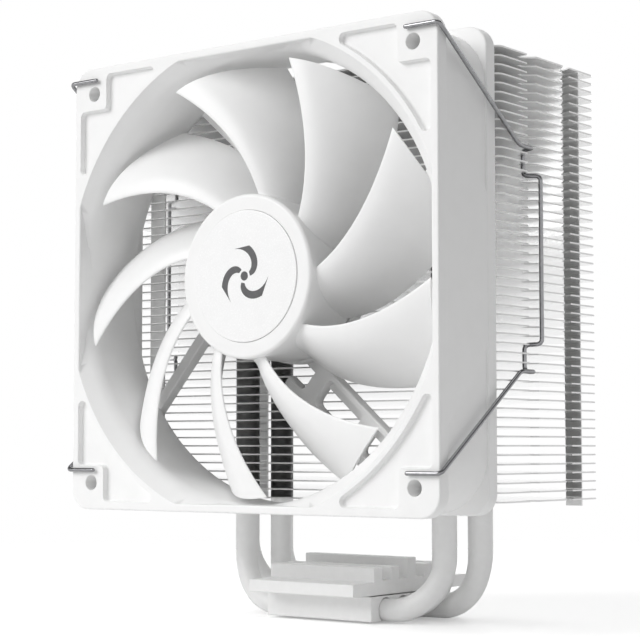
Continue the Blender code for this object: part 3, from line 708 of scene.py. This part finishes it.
def strut(name, angle, offset):
    """A bar of the spider, beside the axis, from under the mount's rim into the frame's corner."""
    rear = -FAN_DEPTH / 2
    half = STRUT_WIDTH / 2
    start = math.sqrt(max(0.0, (LABEL_RADIUS + 2 * EDGE) ** 2 - (offset - half) ** 2))
    end = math.sqrt(STRUT_END_RADIUS**2 - offset**2)
    outline = [(start, -offset - half), (end, -offset - half), (end, -offset + half)]
    outline.append((start, -offset + half))
    bar = rounded_plate(name, outline, rear, rear + MOUNT_THICKNESS, EDGE)
    return placed(bar, Matrix.Rotation(math.radians(angle), 4, "Z"))


def ladder():
    """The strut that guides the fan's leads: two rails, two rungs, and a ledge along the inner rail."""
    rear = -FAN_DEPTH / 2
    top = rear + MOUNT_THICKNESS
    inner, outer = LADDER_INNER[0], LADDER_OUTER[1]
    end = math.sqrt(STRUT_END_RADIUS**2 - outer**2)
    root = math.sqrt((LABEL_RADIUS + 2 * EDGE) ** 2 - inner**2)
    outline = [(root, -outer), (end, -outer), (end, -inner), (root, -inner)]
    plate = rounded_plate("ladder", outline, rear, top, EDGE)
    first, second = LADDER_RUNGS
    half = RUNG_WIDTH / 2
    spans = ((0.0, first - half), (first + half, second - half), (second + half, 2 * end))
    levels = [(rear - CUTTER_REACH, SLOT_EDGE), (rear, SLOT_EDGE), (rear + EDGE, 0.0)]
    levels += [(top - EDGE, 0.0), (top, SLOT_EDGE), (top + CUTTER_REACH, SLOT_EDGE)]
    cutters = []
    for low, high in spans:
        slot = [(low, -LADDER_OUTER[0]), (high, -LADDER_OUTER[0])]
        slot += [(high, -LADDER_INNER[1]), (low, -LADDER_INNER[1])]
        cutters.append(loft(f"ladder_slot_{len(cutters)}", soften(slot, SLOT_CORNER, 6), levels))
    plate = combine(plate, cutters, "DIFFERENCE")
    near, far = LADDER_LEDGE
    strip = [(root, -far), (end, -far), (end, -near), (root, -near)]
    ledge = rounded_plate("ledge", strip, rear, rear + LEDGE_THICKNESS, LEDGE_THICKNESS / 4)
    plate = combine(plate, [ledge], "UNION")
    return placed(plate, Matrix.Rotation(math.radians(LADDER_ANGLE), 4, "Z"))


def motor_mount():
    """The disc that carries the motor, with its bearing tube and the seat of the rear film."""
    rear = -FAN_DEPTH / 2
    front = rear + MOUNT_THICKNESS
    seat = LABEL_Z[1] + LABEL_GAP
    bore = LABEL_RADIUS + LABEL_GAP
    profile = [(TUBE_RADIUS - EDGE, TUBE_TOP), (TUBE_RADIUS, TUBE_TOP - EDGE)]
    profile += arc((TUBE_RADIUS + MOUNT_FILLET, front + MOUNT_FILLET), MOUNT_FILLET, 180, 270, 4)
    profile += arc((MOUNT_RADIUS - MOUNT_FILLET, front - MOUNT_FILLET), MOUNT_FILLET, 90, 0, 4)
    profile += [(MOUNT_RADIUS, rear + EDGE), (MOUNT_RADIUS - EDGE, rear)]
    profile += [(bore + EDGE / 2, rear), (bore, rear + EDGE / 2), (bore, seat)]
    profile += [(TUBE_BORE, seat), (TUBE_BORE, TUBE_TOP)]
    return turned("motor_mount", profile, steps=96)


def make_fan_frame(materials):
    face = FAN_DEPTH / 2
    outline = rounded_square(FAN_HALF, FLANGE_CORNER)
    body_outline = rounded_square(BODY_HALF, BODY_CORNER, 16)
    middle = face - FLANGE / 2
    shell = rounded_plate("fan_frame_moulding", outline, face - FLANGE, face, EDGE)
    rear = rounded_plate("rear_flange", outline, -face, FLANGE - face, EDGE)
    body = loft("frame_body", body_outline, [(-middle, 0.0), (middle, 0.0)])
    shell = combine(shell, [rear, body, side_cone()], "UNION")
    shell = combine(shell, [duct_cutter(), *screw_drills(), *pocket_cutters()], "DIFFERENCE")
    spider = [strut(f"strut_{n}", LADDER_ANGLE + 90 * n, STRUT_OFFSET) for n in (1, 2, 3)]
    spider = combine(motor_mount(), [*spider, ladder()], "UNION")
    shell = combine(shell, [spider], "UNION")
    placed(shell, FAN_AXIS)
    finish(shell, materials["frame_plastic"], "heatsink", ["fan_frame"])


def film_disc(name, radius, low, high, edge):
    """A thin disc with a rounded rim on its front face."""
    profile = [(0.0, high)]
    profile += [(radius - edge * inwards, high - edge * down) for inwards, down in DISC_RIM]
    profile += [(radius, low), (0.0, low)]
    return turned(name, profile, closed=False)


def make_rear_film(materials):
    """The film that covers the back of the motor mount."""
    film = film_disc("rear_film", LABEL_RADIUS, -LABEL_Z[1], -LABEL_Z[0], LABEL_GAP / 3)
    placed(film, FAN_AXIS @ Matrix.Scale(-1, 4, (0, 0, 1)))
    film.data.flip_normals()
    finish(film, materials["disc_film"], "heatsink", ["rear_disc"])


# Rotor


def hub_shape():
    """The hub's cup: a seat for the front film, a rounded shoulder and a boss for the shaft."""
    seat = DISC_Z[0] - LABEL_GAP
    rim = DISC_RADIUS + DISC_GROOVE
    under = seat - HUB_ROOF
    inner = HUB_RADIUS - HUB_WALL
    profile = [(0.0, seat), (rim, seat), (rim, HUB_FRONT - DISC_EDGE), (rim + DISC_EDGE, HUB_FRONT)]
    profile += arc((HUB_RADIUS - HUB_EDGE, HUB_FRONT - HUB_EDGE), HUB_EDGE, 90, 0, 10)
    profile += [(HUB_RADIUS, HUB_REAR + EDGE), (HUB_RADIUS - EDGE, HUB_REAR), (inner, HUB_REAR)]
    profile += [(inner, under), (HUB_BOSS_RADIUS, under), (HUB_BOSS_RADIUS, under - HUB_BOSS_LENGTH)]
    profile += [(SHAFT_BORE, under - HUB_BOSS_LENGTH), (SHAFT_BORE, under), (0.0, under)]
    return turned("impeller_moulding", profile, closed=False)


def blade_point(t, c):
    """A point of the blade's middle surface: t from root to tip, c from leading to trailing edge."""
    root = HUB_RADIUS - HUB_WALL / 2
    radius = root + (BLADE_TIP_RADIUS - root) * t
    lead = through_three(LEAD_ANGLES, t)
    trail = through_three(TRAIL_ANGLES, t)
    lead_z = through_three(LEAD_Z, t)
    trail_z = through_three(TRAIL_Z, t)
    angle = math.radians(lead + (trail - lead) * c)
    drop = c + BLADE_CAMBER * (c * c - c)
    z = lead_z + (trail_z - lead_z) * drop
    return Vector((radius * math.cos(angle), radius * math.sin(angle), z))


def blade_half_thickness(t, c):
    """Half the blade's thickness: fullest behind the leading edge, flared where it meets the hub."""
    peak = BLADE_FULLEST
    fullness = math.sin(math.pi / 2 * c / peak) if c < peak else (1 - c) / (1 - peak)
    from_edge = min(1.0, min(c, 1 - c) / BLADE_EDGE_ROUND)
    rounding = max(BLADE_LEAST_ROUND, math.sqrt(1 - (1 - from_edge) ** 2))
    body = BLADE_EDGE_THICKNESS + (BLADE_THICKNESS - BLADE_EDGE_THICKNESS) * smooth_step(fullness)
    root = HUB_RADIUS - HUB_WALL / 2
    out = (BLADE_TIP_RADIUS - root) * t - HUB_WALL / 2
    near = max(0.0, 1.0 - max(0.0, out) / BLADE_ROOT_REACH)
    flare_share = near**3 * math.sin(math.pi * c)
    return (body * rounding + BLADE_ROOT_FLARE * flare_share) / 2


def blade_section(t):
    """The closed loop of points round the blade at one distance from the hub."""
    step = 1e-3
    front, back = [], []
    for j in range(BLADE_CHORDS + 1):
        c = (1 - math.cos(math.pi * j / BLADE_CHORDS)) / 2
        here = blade_point(t, c)
        along = blade_point(t, min(1.0, c + step)) - blade_point(t, max(0.0, c - step))
        across = blade_point(t + step, c) - blade_point(t - step, c)
        normal = across.cross(along).normalized()
        offset = normal * blade_half_thickness(t, c)
        front.append(here + offset)
        back.append(here - offset)
    return front + list(reversed(back[1:-1]))


def blades():
    """All blades in one mesh, each a closed loft from inside the hub's wall to its tip."""
    shape = bmesh.new()
    even_shares = [i / BLADE_SPANS for i in range(1, BLADE_SPANS + 1)]
    sections = [blade_section(t) for t in (*BLADE_ROOT_SHARES, *even_shares)]
    for index in range(BLADE_COUNT):
        turn = Matrix.Rotation(2 * math.pi * index / BLADE_COUNT, 3, "Z")
        rings = [[shape.verts.new(turn @ point) for point in section] for section in sections]
        skin(shape, rings)
    bmesh.ops.recalc_face_normals(shape, faces=shape.faces)
    return object_from("blades", shape)


def make_impeller(materials):
    rotor = combine(hub_shape(), [blades()], "UNION")
    placed(rotor, FAN_AXIS)
    finish(rotor, materials["blade_plastic"], "impeller", ["impeller"])


def make_hub_film(materials):
    film = placed(film_disc("hub_front_film", DISC_RADIUS, *DISC_Z, DISC_EDGE), FAN_AXIS)
    finish(film, materials["disc_film"], "impeller", ["hub_disc"])


def emblem_outline(index, steps=16):
    """One of three curved blades of a plain fan sign: out along one side, and back along the other."""
    leading, trailing = [], []
    start = 120.0 * index
    for step in range(steps + 1):
        t = step / steps
        radius = EMBLEM_RADIUS * (EMBLEM_START + (1 - EMBLEM_START) * t)
        swept = EMBLEM_SWEEP * t**EMBLEM_BEND
        leading.append(polar(radius, start + swept))
        trailing.append(polar(radius, start + EMBLEM_WIDTH + swept * EMBLEM_WIDENING))
    return leading + list(reversed(trailing))


def make_emblem(materials):
    """A plain fan sign printed on the hub's film: three curved blades round a dot."""
    low, high = DISC_Z[1] - EMBLEM_HEIGHT, DISC_Z[1] + EMBLEM_HEIGHT
    shape = bmesh.new()
    outlines = [emblem_outline(index) for index in range(3)]
    outlines.append(arc((0, 0), EMBLEM_RADIUS * EMBLEM_DOT, 0, 345, 23))
    for outline in outlines:
        if not is_anticlockwise(outline):
            outline = list(reversed(outline))
        rings = [[shape.verts.new((x, y, z)) for x, y in outline] for z in (low, high)]
        skin(shape, rings)
    emblem = placed(object_from("hub_emblem", shape), FAN_AXIS)
    finish(emblem, materials["emblem_ink"], "impeller")


# Fins


def fin_side():
    """The right side of a fin from front to rear: rounded corners, and a notch at either end."""
    side, corner = FIN_HIGH.x, FIN_CORNER
    notch_x = (side, side - NOTCH_DEPTH, side - NOTCH_DEPTH, side)
    front = arc((side - corner, FIN_LOW.y + corner), corner, -90, 0, 6)
    rear = arc((side - corner, FIN_HIGH.y - corner), corner, 0, 90, 6)
    return front + [*zip(notch_x, FRONT_NOTCH_Y), *zip(notch_x, REAR_NOTCH_Y)] + rear


def fin_end(sign_y):
    """An end of the sheet in Y, and the X range of its tabs."""
    return (FIN_LOW.y, FRONT_TAB_X) if sign_y < 0 else (FIN_HIGH.y, REAR_TAB_X)


def fin_edge(sign_y):
    """The front or rear edge's points on the right half, from the middle outwards."""
    end, (inner, outer) = fin_end(sign_y)
    base = end - sign_y * TAB_BEND
    return [
        (inner - TAB_RELIEF, end),
        (inner - TAB_RELIEF, base),
        (inner, base),
        (outer, base),
        (outer + TAB_RELIEF, base),
        (outer + TAB_RELIEF, end),
    ]


def fin_outline():
    """The whole outline of a fin, anticlockwise from the middle of its front edge."""
    right = fin_edge(-1) + fin_side() + list(reversed(fin_edge(1)))
    return right + [(-x, y) for x, y in reversed(right)]


def add_ring(shape, centre, radius, height, steps):
    return [
        shape.verts.new((centre[0] + x, centre[1] + y, height))
        for x, y in (polar(radius, 360 * i / steps) for i in range(steps))
    ]


def edges_of(shape, ring):
    made = []
    for first, second in zip(ring, ring[1:] + ring[:1]):
        edge = shape.edges.get((first, second))
        made.append(edge if edge is not None else shape.edges.new((first, second)))
    return made


def add_tab(shape, corners, sign_y, height, length):
    """Folds a tab down from an edge of the sheet; corners are its two top and two bottom vertices."""
    end = fin_end(sign_y)[0]
    outer, inner = TAB_BEND, TAB_BEND - FIN_THICKNESS
    base_y = end - sign_y * TAB_BEND
    centre_z = height + FIN_THICKNESS / 2 - TAB_BEND
    previous = corners
    xs = (corners[0].co.x, corners[1].co.x)
    stations = []
    for step in range(1, 5):
        angle = math.pi / 2 * step / 4
        stations.append([
            (base_y + sign_y * outer * math.sin(angle), centre_z + outer * math.cos(angle)),
            (base_y + sign_y * inner * math.sin(angle), centre_z + inner * math.cos(angle)),
        ])
    low = height + FIN_THICKNESS / 2 - length
    stations.append([(end, low), (end - sign_y * FIN_THICKNESS, low)])
    for (outer_y, outer_z), (inner_y, inner_z) in stations:
        row = [shape.verts.new((x, outer_y, outer_z)) for x in xs]
        row += [shape.verts.new((x, inner_y, inner_z)) for x in reversed(xs)]
        for i in range(4):
            j = (i + 1) % 4
            shape.faces.new((previous[i], previous[j], row[j], row[i]))
        previous = row
    shape.faces.new(previous)


def add_fin(shape, height, hole_steps=32):
    """One pressed sheet: notched outline, four folded tabs and a hole for every pipe."""
    top, bottom = height + FIN_THICKNESS / 2, height - FIN_THICKNESS / 2
    outline = fin_outline()
    upper = [shape.verts.new((x, y, top)) for x, y in outline]
    lower = [shape.verts.new((x, y, bottom)) for x, y in outline]
    count = len(outline)
    for i in range(count):
        j = (i + 1) % count
        sign_y = -1 if outline[i][1] < 0 else 1
        span = tuple(sorted((abs(outline[i][0]), abs(outline[j][0]))))
        if span == fin_end(sign_y)[1]:
            corners = [upper[i], upper[j], lower[j], lower[i]]
            add_tab(shape, corners, sign_y, height, FIN_PITCH - TAB_CLEARANCE)
        else:
            shape.faces.new((upper[i], upper[j], lower[j], lower[i]))
    top_edges, bottom_edges = edges_of(shape, upper), edges_of(shape, lower)
    rim = PIPE_HOLE_RADIUS + PIPE_HOLE_EDGE
    profile = [(rim, top), (PIPE_HOLE_RADIUS, top - PIPE_HOLE_EDGE)]
    profile += [(PIPE_HOLE_RADIUS, bottom + PIPE_HOLE_EDGE), (rim, bottom)]
    for leg_x, leg_y, _ in PIPE_LEGS:
        for sign in (-1, 1):
            rings = [
                add_ring(shape, (sign * leg_x, leg_y), radius, z, hole_steps)
                for radius, z in profile
            ]
            skin(shape, rings, closed_ends=False)
            top_edges += edges_of(shape, rings[0])
            bottom_edges += edges_of(shape, rings[-1])
    for edges in (top_edges, bottom_edges):
        bmesh.ops.triangle_fill(shape, use_beauty=True, use_dissolve=False, edges=edges)


def fin_pair_mesh():
    """Two fins, one pitch apart; z = 0 is the middle of the upper one."""
    shape = bmesh.new()
    for step in range(FINS_PER_PAIR):
        add_fin(shape, -step * FIN_PITCH)
    bmesh.ops.recalc_face_normals(shape, faces=shape.faces)
    mesh = bpy.data.meshes.new("pressed_fins")
    shape.to_mesh(mesh)
    shape.free()
    return mesh


def make_fins(materials):
    mesh = fin_pair_mesh()
    top = FINS_TOP - FIN_THICKNESS / 2
    for index in range(FIN_COUNT // FINS_PER_PAIR):
        number = f"{index + 1:02d}"
        pair = bpy.data.objects.new(f"pressed_fins_{number}", mesh)
        bpy.context.scene.collection.objects.link(pair)
        pair.location.z = top - FINS_PER_PAIR * index * FIN_PITCH
        finish(pair, materials["fin_paint"], "heatsink", [f"fin_pair_{number}"])


# Heat pipes


def pipe_row(index):
    """Y of a heat pipe where it lies in the base."""
    return (index - (len(PIPE_LEGS) - 1) / 2) * PIPE_PITCH_IN_BASE


def pipe_half(index):
    """One half of a pipe, from its crimped tip down to the base: (point, scale of the radius)."""
    leg_x, leg_y, bend = PIPE_LEGS[index]
    row = pipe_row(index)
    path = []
    steps = 10
    for step in range(steps + 1):
        t = step / steps
        bulge = math.sin(math.pi / 2 * t) ** PIPE_NIPPLE_POWER
        scale = PIPE_NIPPLE + (1 - PIPE_NIPPLE) * bulge if step else PIPE_NIPPLE_END
        path.append(((leg_x, leg_y, PIPE_TOP - PIPE_TIP * t), scale))
    for step in range(BEND_STEPS + 1):
        t = step / BEND_STEPS
        angle = t * math.pi / 2
        x = leg_x - bend + bend * math.cos(angle)
        z = PIPE_AXIS_Z + bend - bend * math.sin(angle)
        path.append(((x, leg_y + (row - leg_y) * smooth_step(t), z), 1.0))
    return path


def make_heat_pipe(index, materials):
    half = pipe_half(index)
    path = half + [((-x, y, z), scale) for (x, y, z), scale in reversed(half)]
    number = index + 1
    points, scales = zip(*path)
    pipe = tube(f"bent_heat_pipe_{number}", points, PIPE_RADIUS, scales, 8)
    reach = FIN_HIGH.x
    square = [(reach, reach), (-reach, reach), (-reach, -reach), (reach, -reach)]
    mill = loft("mill", square, [(-reach, 0.0), (0.0, 0.0)])
    pipe = combine(pipe, [mill], "DIFFERENCE")
    finish(pipe, materials["pipe_paint"], "heatsink", [f"heat_pipe_{number}"])


# Base


def cover_outline():
    """The cover's section across its ridges: one half, then its mirror image."""
    half_depth, low, high = COVER_HIGH.y, COVER_LOW.z, COVER_HIGH.z
    outer = RIDGES_EACH_SIDE * RIDGE_PITCH + RIDGE_WIDTH / 2
    half = [(half_depth, low), (half_depth, LIP_TOP), (outer, LIP_TOP)]
    for index in range(RIDGES_EACH_SIDE, 0, -1):
        centre = index * RIDGE_PITCH
        half += [(centre + RIDGE_WIDTH / 2, RIDGE_TOP), (centre - RIDGE_WIDTH / 2, RIDGE_TOP)]
        half.append((centre - RIDGE_WIDTH / 2, GROOVE_FLOOR))
        half.append((centre - RIDGE_PITCH + RIDGE_WIDTH / 2, GROOVE_FLOOR))
    half.append((RIDGE_WIDTH / 2, high))
    return soften(half + [(-y, z) for y, z in reversed(half)], BASE_CORNER)


def make_base_cover(materials):
    half = COVER_HIGH.x
    cover = rounded_plate("milled_base_cover", cover_outline(), -half, half, BASE_EDGE)
    placed(cover, ALONG_X)
    rim = LIP_HOLE_RADIUS + BASE_EDGE
    profile = [(0.0, 2 * LIP_TOP), (rim, 2 * LIP_TOP), (rim, LIP_TOP)]
    profile += [(LIP_HOLE_RADIUS, LIP_TOP - BASE_EDGE), (LIP_HOLE_RADIUS, 0.0), (0.0, 0.0)]
    drills = []
    for sx in (-1, 1):
        for sy in (-1, 1):
            drill = turned(f"lip_drill_{len(drills)}", profile, closed=False, steps=32)
            place = Matrix.Translation((sx * LIP_HOLE[0], sy * LIP_HOLE[1], 0))
            drills.append(placed(drill, place))
    cover = combine(cover, drills, "DIFFERENCE")
    finish(cover, materials["base_paint"], "heatsink", ["base_cover"])


def make_contact_block(materials):
    """The block whose grooves hold the pipes and are open along the contact face."""
    groove = PIPE_RADIUS + GROOVE_CLEARANCE
    mouth = math.degrees(math.asin(PIPE_AXIS_Z / groove))
    half_depth, top = BLOCK_HIGH.y, BLOCK_HIGH.z
    corners = [(-half_depth, 0.0), (-half_depth, top), (half_depth, top), (half_depth, 0.0)]
    outline = soften(corners, BASE_CORNER)
    for index in reversed(range(len(PIPE_LEGS))):
        outline += arc((pipe_row(index), PIPE_AXIS_Z), groove, -mouth, 180 + mouth, 28)
    half = BLOCK_HIGH.x
    block = rounded_plate("milled_contact_block", outline, -half, half, BASE_EDGE)
    placed(block, ALONG_X)
    finish(block, materials["base_paint"], "heatsink", ["contact_block"])


# Clips


def rounded_path(corners, reach, steps=8):
    """The corners' polyline with each inner corner turned into a short curve."""
    points = [Vector(corners[0])]
    for before, corner, after in zip(corners, corners[1:], corners[2:]):
        before, corner, after = Vector(before), Vector(corner), Vector(after)
        back, on = before - corner, after - corner
        start = corner + back.normalized() * min(reach, back.length * CLIP_BEND_SHARE)
        end = corner + on.normalized() * min(reach, on.length * CLIP_BEND_SHARE)
        for step in range(steps + 1):
            t = step / steps
            points.append(start * (1 - t) ** 2 + corner * 2 * t * (1 - t) + end * t * t)
    points.append(Vector(corners[-1]))
    return points


def make_clip(side, materials):
    """A spring-wire clip with rounded ends."""
    sign = 1 if side == "right" else -1
    middle = joint_point(f"clip_{side}_swing").z
    half = [(sign * x, y, z) for x, y, z in CLIP_ROUTE]
    corners = half + [(x, y, -z) for x, y, z in reversed(half)]
    points = rounded_path([(x, y, z + middle) for x, y, z in corners], CLIP_BEND)
    tip = (points[1] - points[0]).normalized() * WIRE_RADIUS
    tail = (points[-2] - points[-1]).normalized() * WIRE_RADIUS
    path = [points[0] + tip * share for share, _ in CLIP_END] + [points[0] + tip]
    path += points[1:-1] + [points[-1] + tail]
    path += [points[-1] + tail * share for share, _ in reversed(CLIP_END)]
    scales = [scale for _, scale in CLIP_END] + [1.0] * len(points)
    scales += [scale for _, scale in reversed(CLIP_END)]
    clip = tube(f"spring_wire_clip_{side}", path, WIRE_RADIUS, scales, 5)
    finish(clip, materials["spring_steel"], f"clip_{side}", [f"wire_clip_{side}"], 60.0)


# Carried-over nodes of the motor, lights, floor and camera


MOTOR_SLOTS = {
    "rotor_yoke": "plain_steel",
    "rotor_shaft": "plain_steel",
    "shaft_ring": "plain_steel",
    "bearing_cap": "plain_steel",
    "magnet_ring": "ferrite",
    "stator_core": "laminated_steel",
    "stator_coil_1": "enamelled_copper",
    "stator_coil_2": "enamelled_copper",
    "stator_coil_3": "enamelled_copper",
    "stator_coil_4": "enamelled_copper",
    "fan_circuit_board": "circuit_board",
    "bearing_sleeve": "sintered_bronze",
}


def dress_motor(materials):
    for node, slot in MOTOR_SLOTS.items():
        obj = frame["nodes"][node]
        obj.data.materials.clear()
        obj.data.materials.append(materials[slot])


def make_world():
    """A white backdrop that lights the object softly, and whose gloss darkens towards the ceiling."""
    world = bpy.data.worlds.new("studio")
    world.use_nodes = True
    tree = world.node_tree
    tree.nodes.clear()
    rays = tree.nodes.new("ShaderNodeLightPath")
    place = tree.nodes.new("ShaderNodeTexCoord")
    axes = tree.nodes.new("ShaderNodeSeparateXYZ")
    height = node_of(tree, "ShaderNodeMapRange", interpolation_type="SMOOTHSTEP")
    height.inputs["From Min"].default_value = GLOSS_FADE[0]
    height.inputs["From Max"].default_value = GLOSS_FADE[1]
    height.inputs["To Min"].default_value = HORIZON_GLOSS
    height.inputs["To Max"].default_value = CEILING_GLOSS
    seen = node_of(tree, "ShaderNodeBackground", Color=(1.0, 1.0, 1.0, 1.0), Strength=BACKGROUND)
    lit = node_of(tree, "ShaderNodeBackground", Color=(1.0, 1.0, 1.0, 1.0), Strength=AMBIENT)
    mirrored = node_of(tree, "ShaderNodeBackground", Color=(1.0, 1.0, 1.0, 1.0))
    gloss_mix = tree.nodes.new("ShaderNodeMixShader")
    camera_mix = tree.nodes.new("ShaderNodeMixShader")
    out = tree.nodes.new("ShaderNodeOutputWorld")
    tree.links.new(place.outputs["Generated"], axes.inputs[0])
    tree.links.new(axes.outputs["Z"], height.inputs["Value"])
    tree.links.new(height.outputs["Result"], mirrored.inputs["Strength"])
    tree.links.new(rays.outputs["Is Glossy Ray"], gloss_mix.inputs[0])
    tree.links.new(lit.outputs[0], gloss_mix.inputs[1])
    tree.links.new(mirrored.outputs[0], gloss_mix.inputs[2])
    tree.links.new(rays.outputs["Is Camera Ray"], camera_mix.inputs[0])
    tree.links.new(gloss_mix.outputs[0], camera_mix.inputs[1])
    tree.links.new(seen.outputs[0], camera_mix.inputs[2])
    tree.links.new(camera_mix.outputs[0], out.inputs["Surface"])
    bpy.context.scene.world = world


def make_lights():
    for name, (place, width, height, power) in LIGHTS.items():
        data = bpy.data.lights.new(name, "AREA")
        data.shape = "RECTANGLE"
        data.size = width
        data.size_y = height
        data.energy = power
        light = bpy.data.objects.new(name, data)
        light.location = place
        aim = Vector(OBJECT_MIDDLE) - Vector(place)
        light.rotation_euler = aim.to_track_quat("-Z", "Y").to_euler()
        bpy.context.scene.collection.objects.link(light)


def make_floor():
    """A plain pale floor that fades into the backdrop."""
    shape = bmesh.new()
    bmesh.ops.create_circle(shape, cap_ends=True, radius=FLOOR_RADIUS, segments=96)
    floor = object_from("floor", shape)
    floor.location.z = FLOOR_Z
    material = bpy.data.materials.new("pale_floor")
    material.use_nodes = True
    tree = material.node_tree
    shader = tree.nodes["Principled BSDF"]
    shader.inputs["Base Color"].default_value = FLOOR_COLOUR
    shader.inputs["Roughness"].default_value = FLOOR_ROUGHNESS
    shader.inputs["Emission Color"].default_value = (1.0, 1.0, 1.0, 1.0)
    rays = tree.nodes.new("ShaderNodeLightPath")
    glow = node_of(tree, "ShaderNodeMapRange")
    glow.inputs["To Max"].default_value = FLOOR_GLOW
    tree.links.new(rays.outputs["Is Camera Ray"], glow.inputs["Value"])
    tree.links.new(glow.outputs["Result"], shader.inputs["Emission Strength"])
    place = node_of(tree, "ShaderNodeTexCoord")
    distance = node_of(tree, "ShaderNodeVectorMath", operation="LENGTH")
    fade = node_of(tree, "ShaderNodeMapRange", interpolation_type="SMOOTHSTEP")
    fade.inputs["From Min"].default_value = FLOOR_FADE[0]
    fade.inputs["From Max"].default_value = FLOOR_FADE[1]
    fade.inputs["To Min"].default_value = 1.0
    fade.inputs["To Max"].default_value = 0.0
    tree.links.new(place.outputs["Object"], distance.inputs[0])
    tree.links.new(distance.outputs["Value"], fade.inputs["Value"])
    tree.links.new(fade.outputs["Result"], shader.inputs["Alpha"])
    floor.data.materials.append(material)


def make_camera():
    data = bpy.data.cameras.new("camera")
    data.sensor_width = SENSOR_WIDTH
    data.lens = CAMERA_LENS
    data.clip_start = CAMERA_NEAR
    camera = bpy.data.objects.new("camera", data)
    camera.location = CAMERA_PLACE
    camera.rotation_euler = [math.radians(angle) for angle in CAMERA_TURN]
    bpy.context.scene.collection.objects.link(camera)
    bpy.context.scene.camera = camera


def main():
    bpy.context.scene.view_settings.view_transform = "Standard"
    bpy.context.scene.cycles.diffuse_bounces = DIFFUSE_BOUNCES
    make_camera()
    make_world()
    make_lights()
    make_floor()
    materials = make_materials()
    make_fan_frame(materials)
    make_impeller(materials)
    make_emblem(materials)
    make_hub_film(materials)
    make_rear_film(materials)
    make_fins(materials)
    for index in range(len(PIPE_LEGS)):
        make_heat_pipe(index, materials)
    make_base_cover(materials)
    make_contact_block(materials)
    for side in ("right", "left"):
        make_clip(side, materials)
    dress_motor(materials)


main()
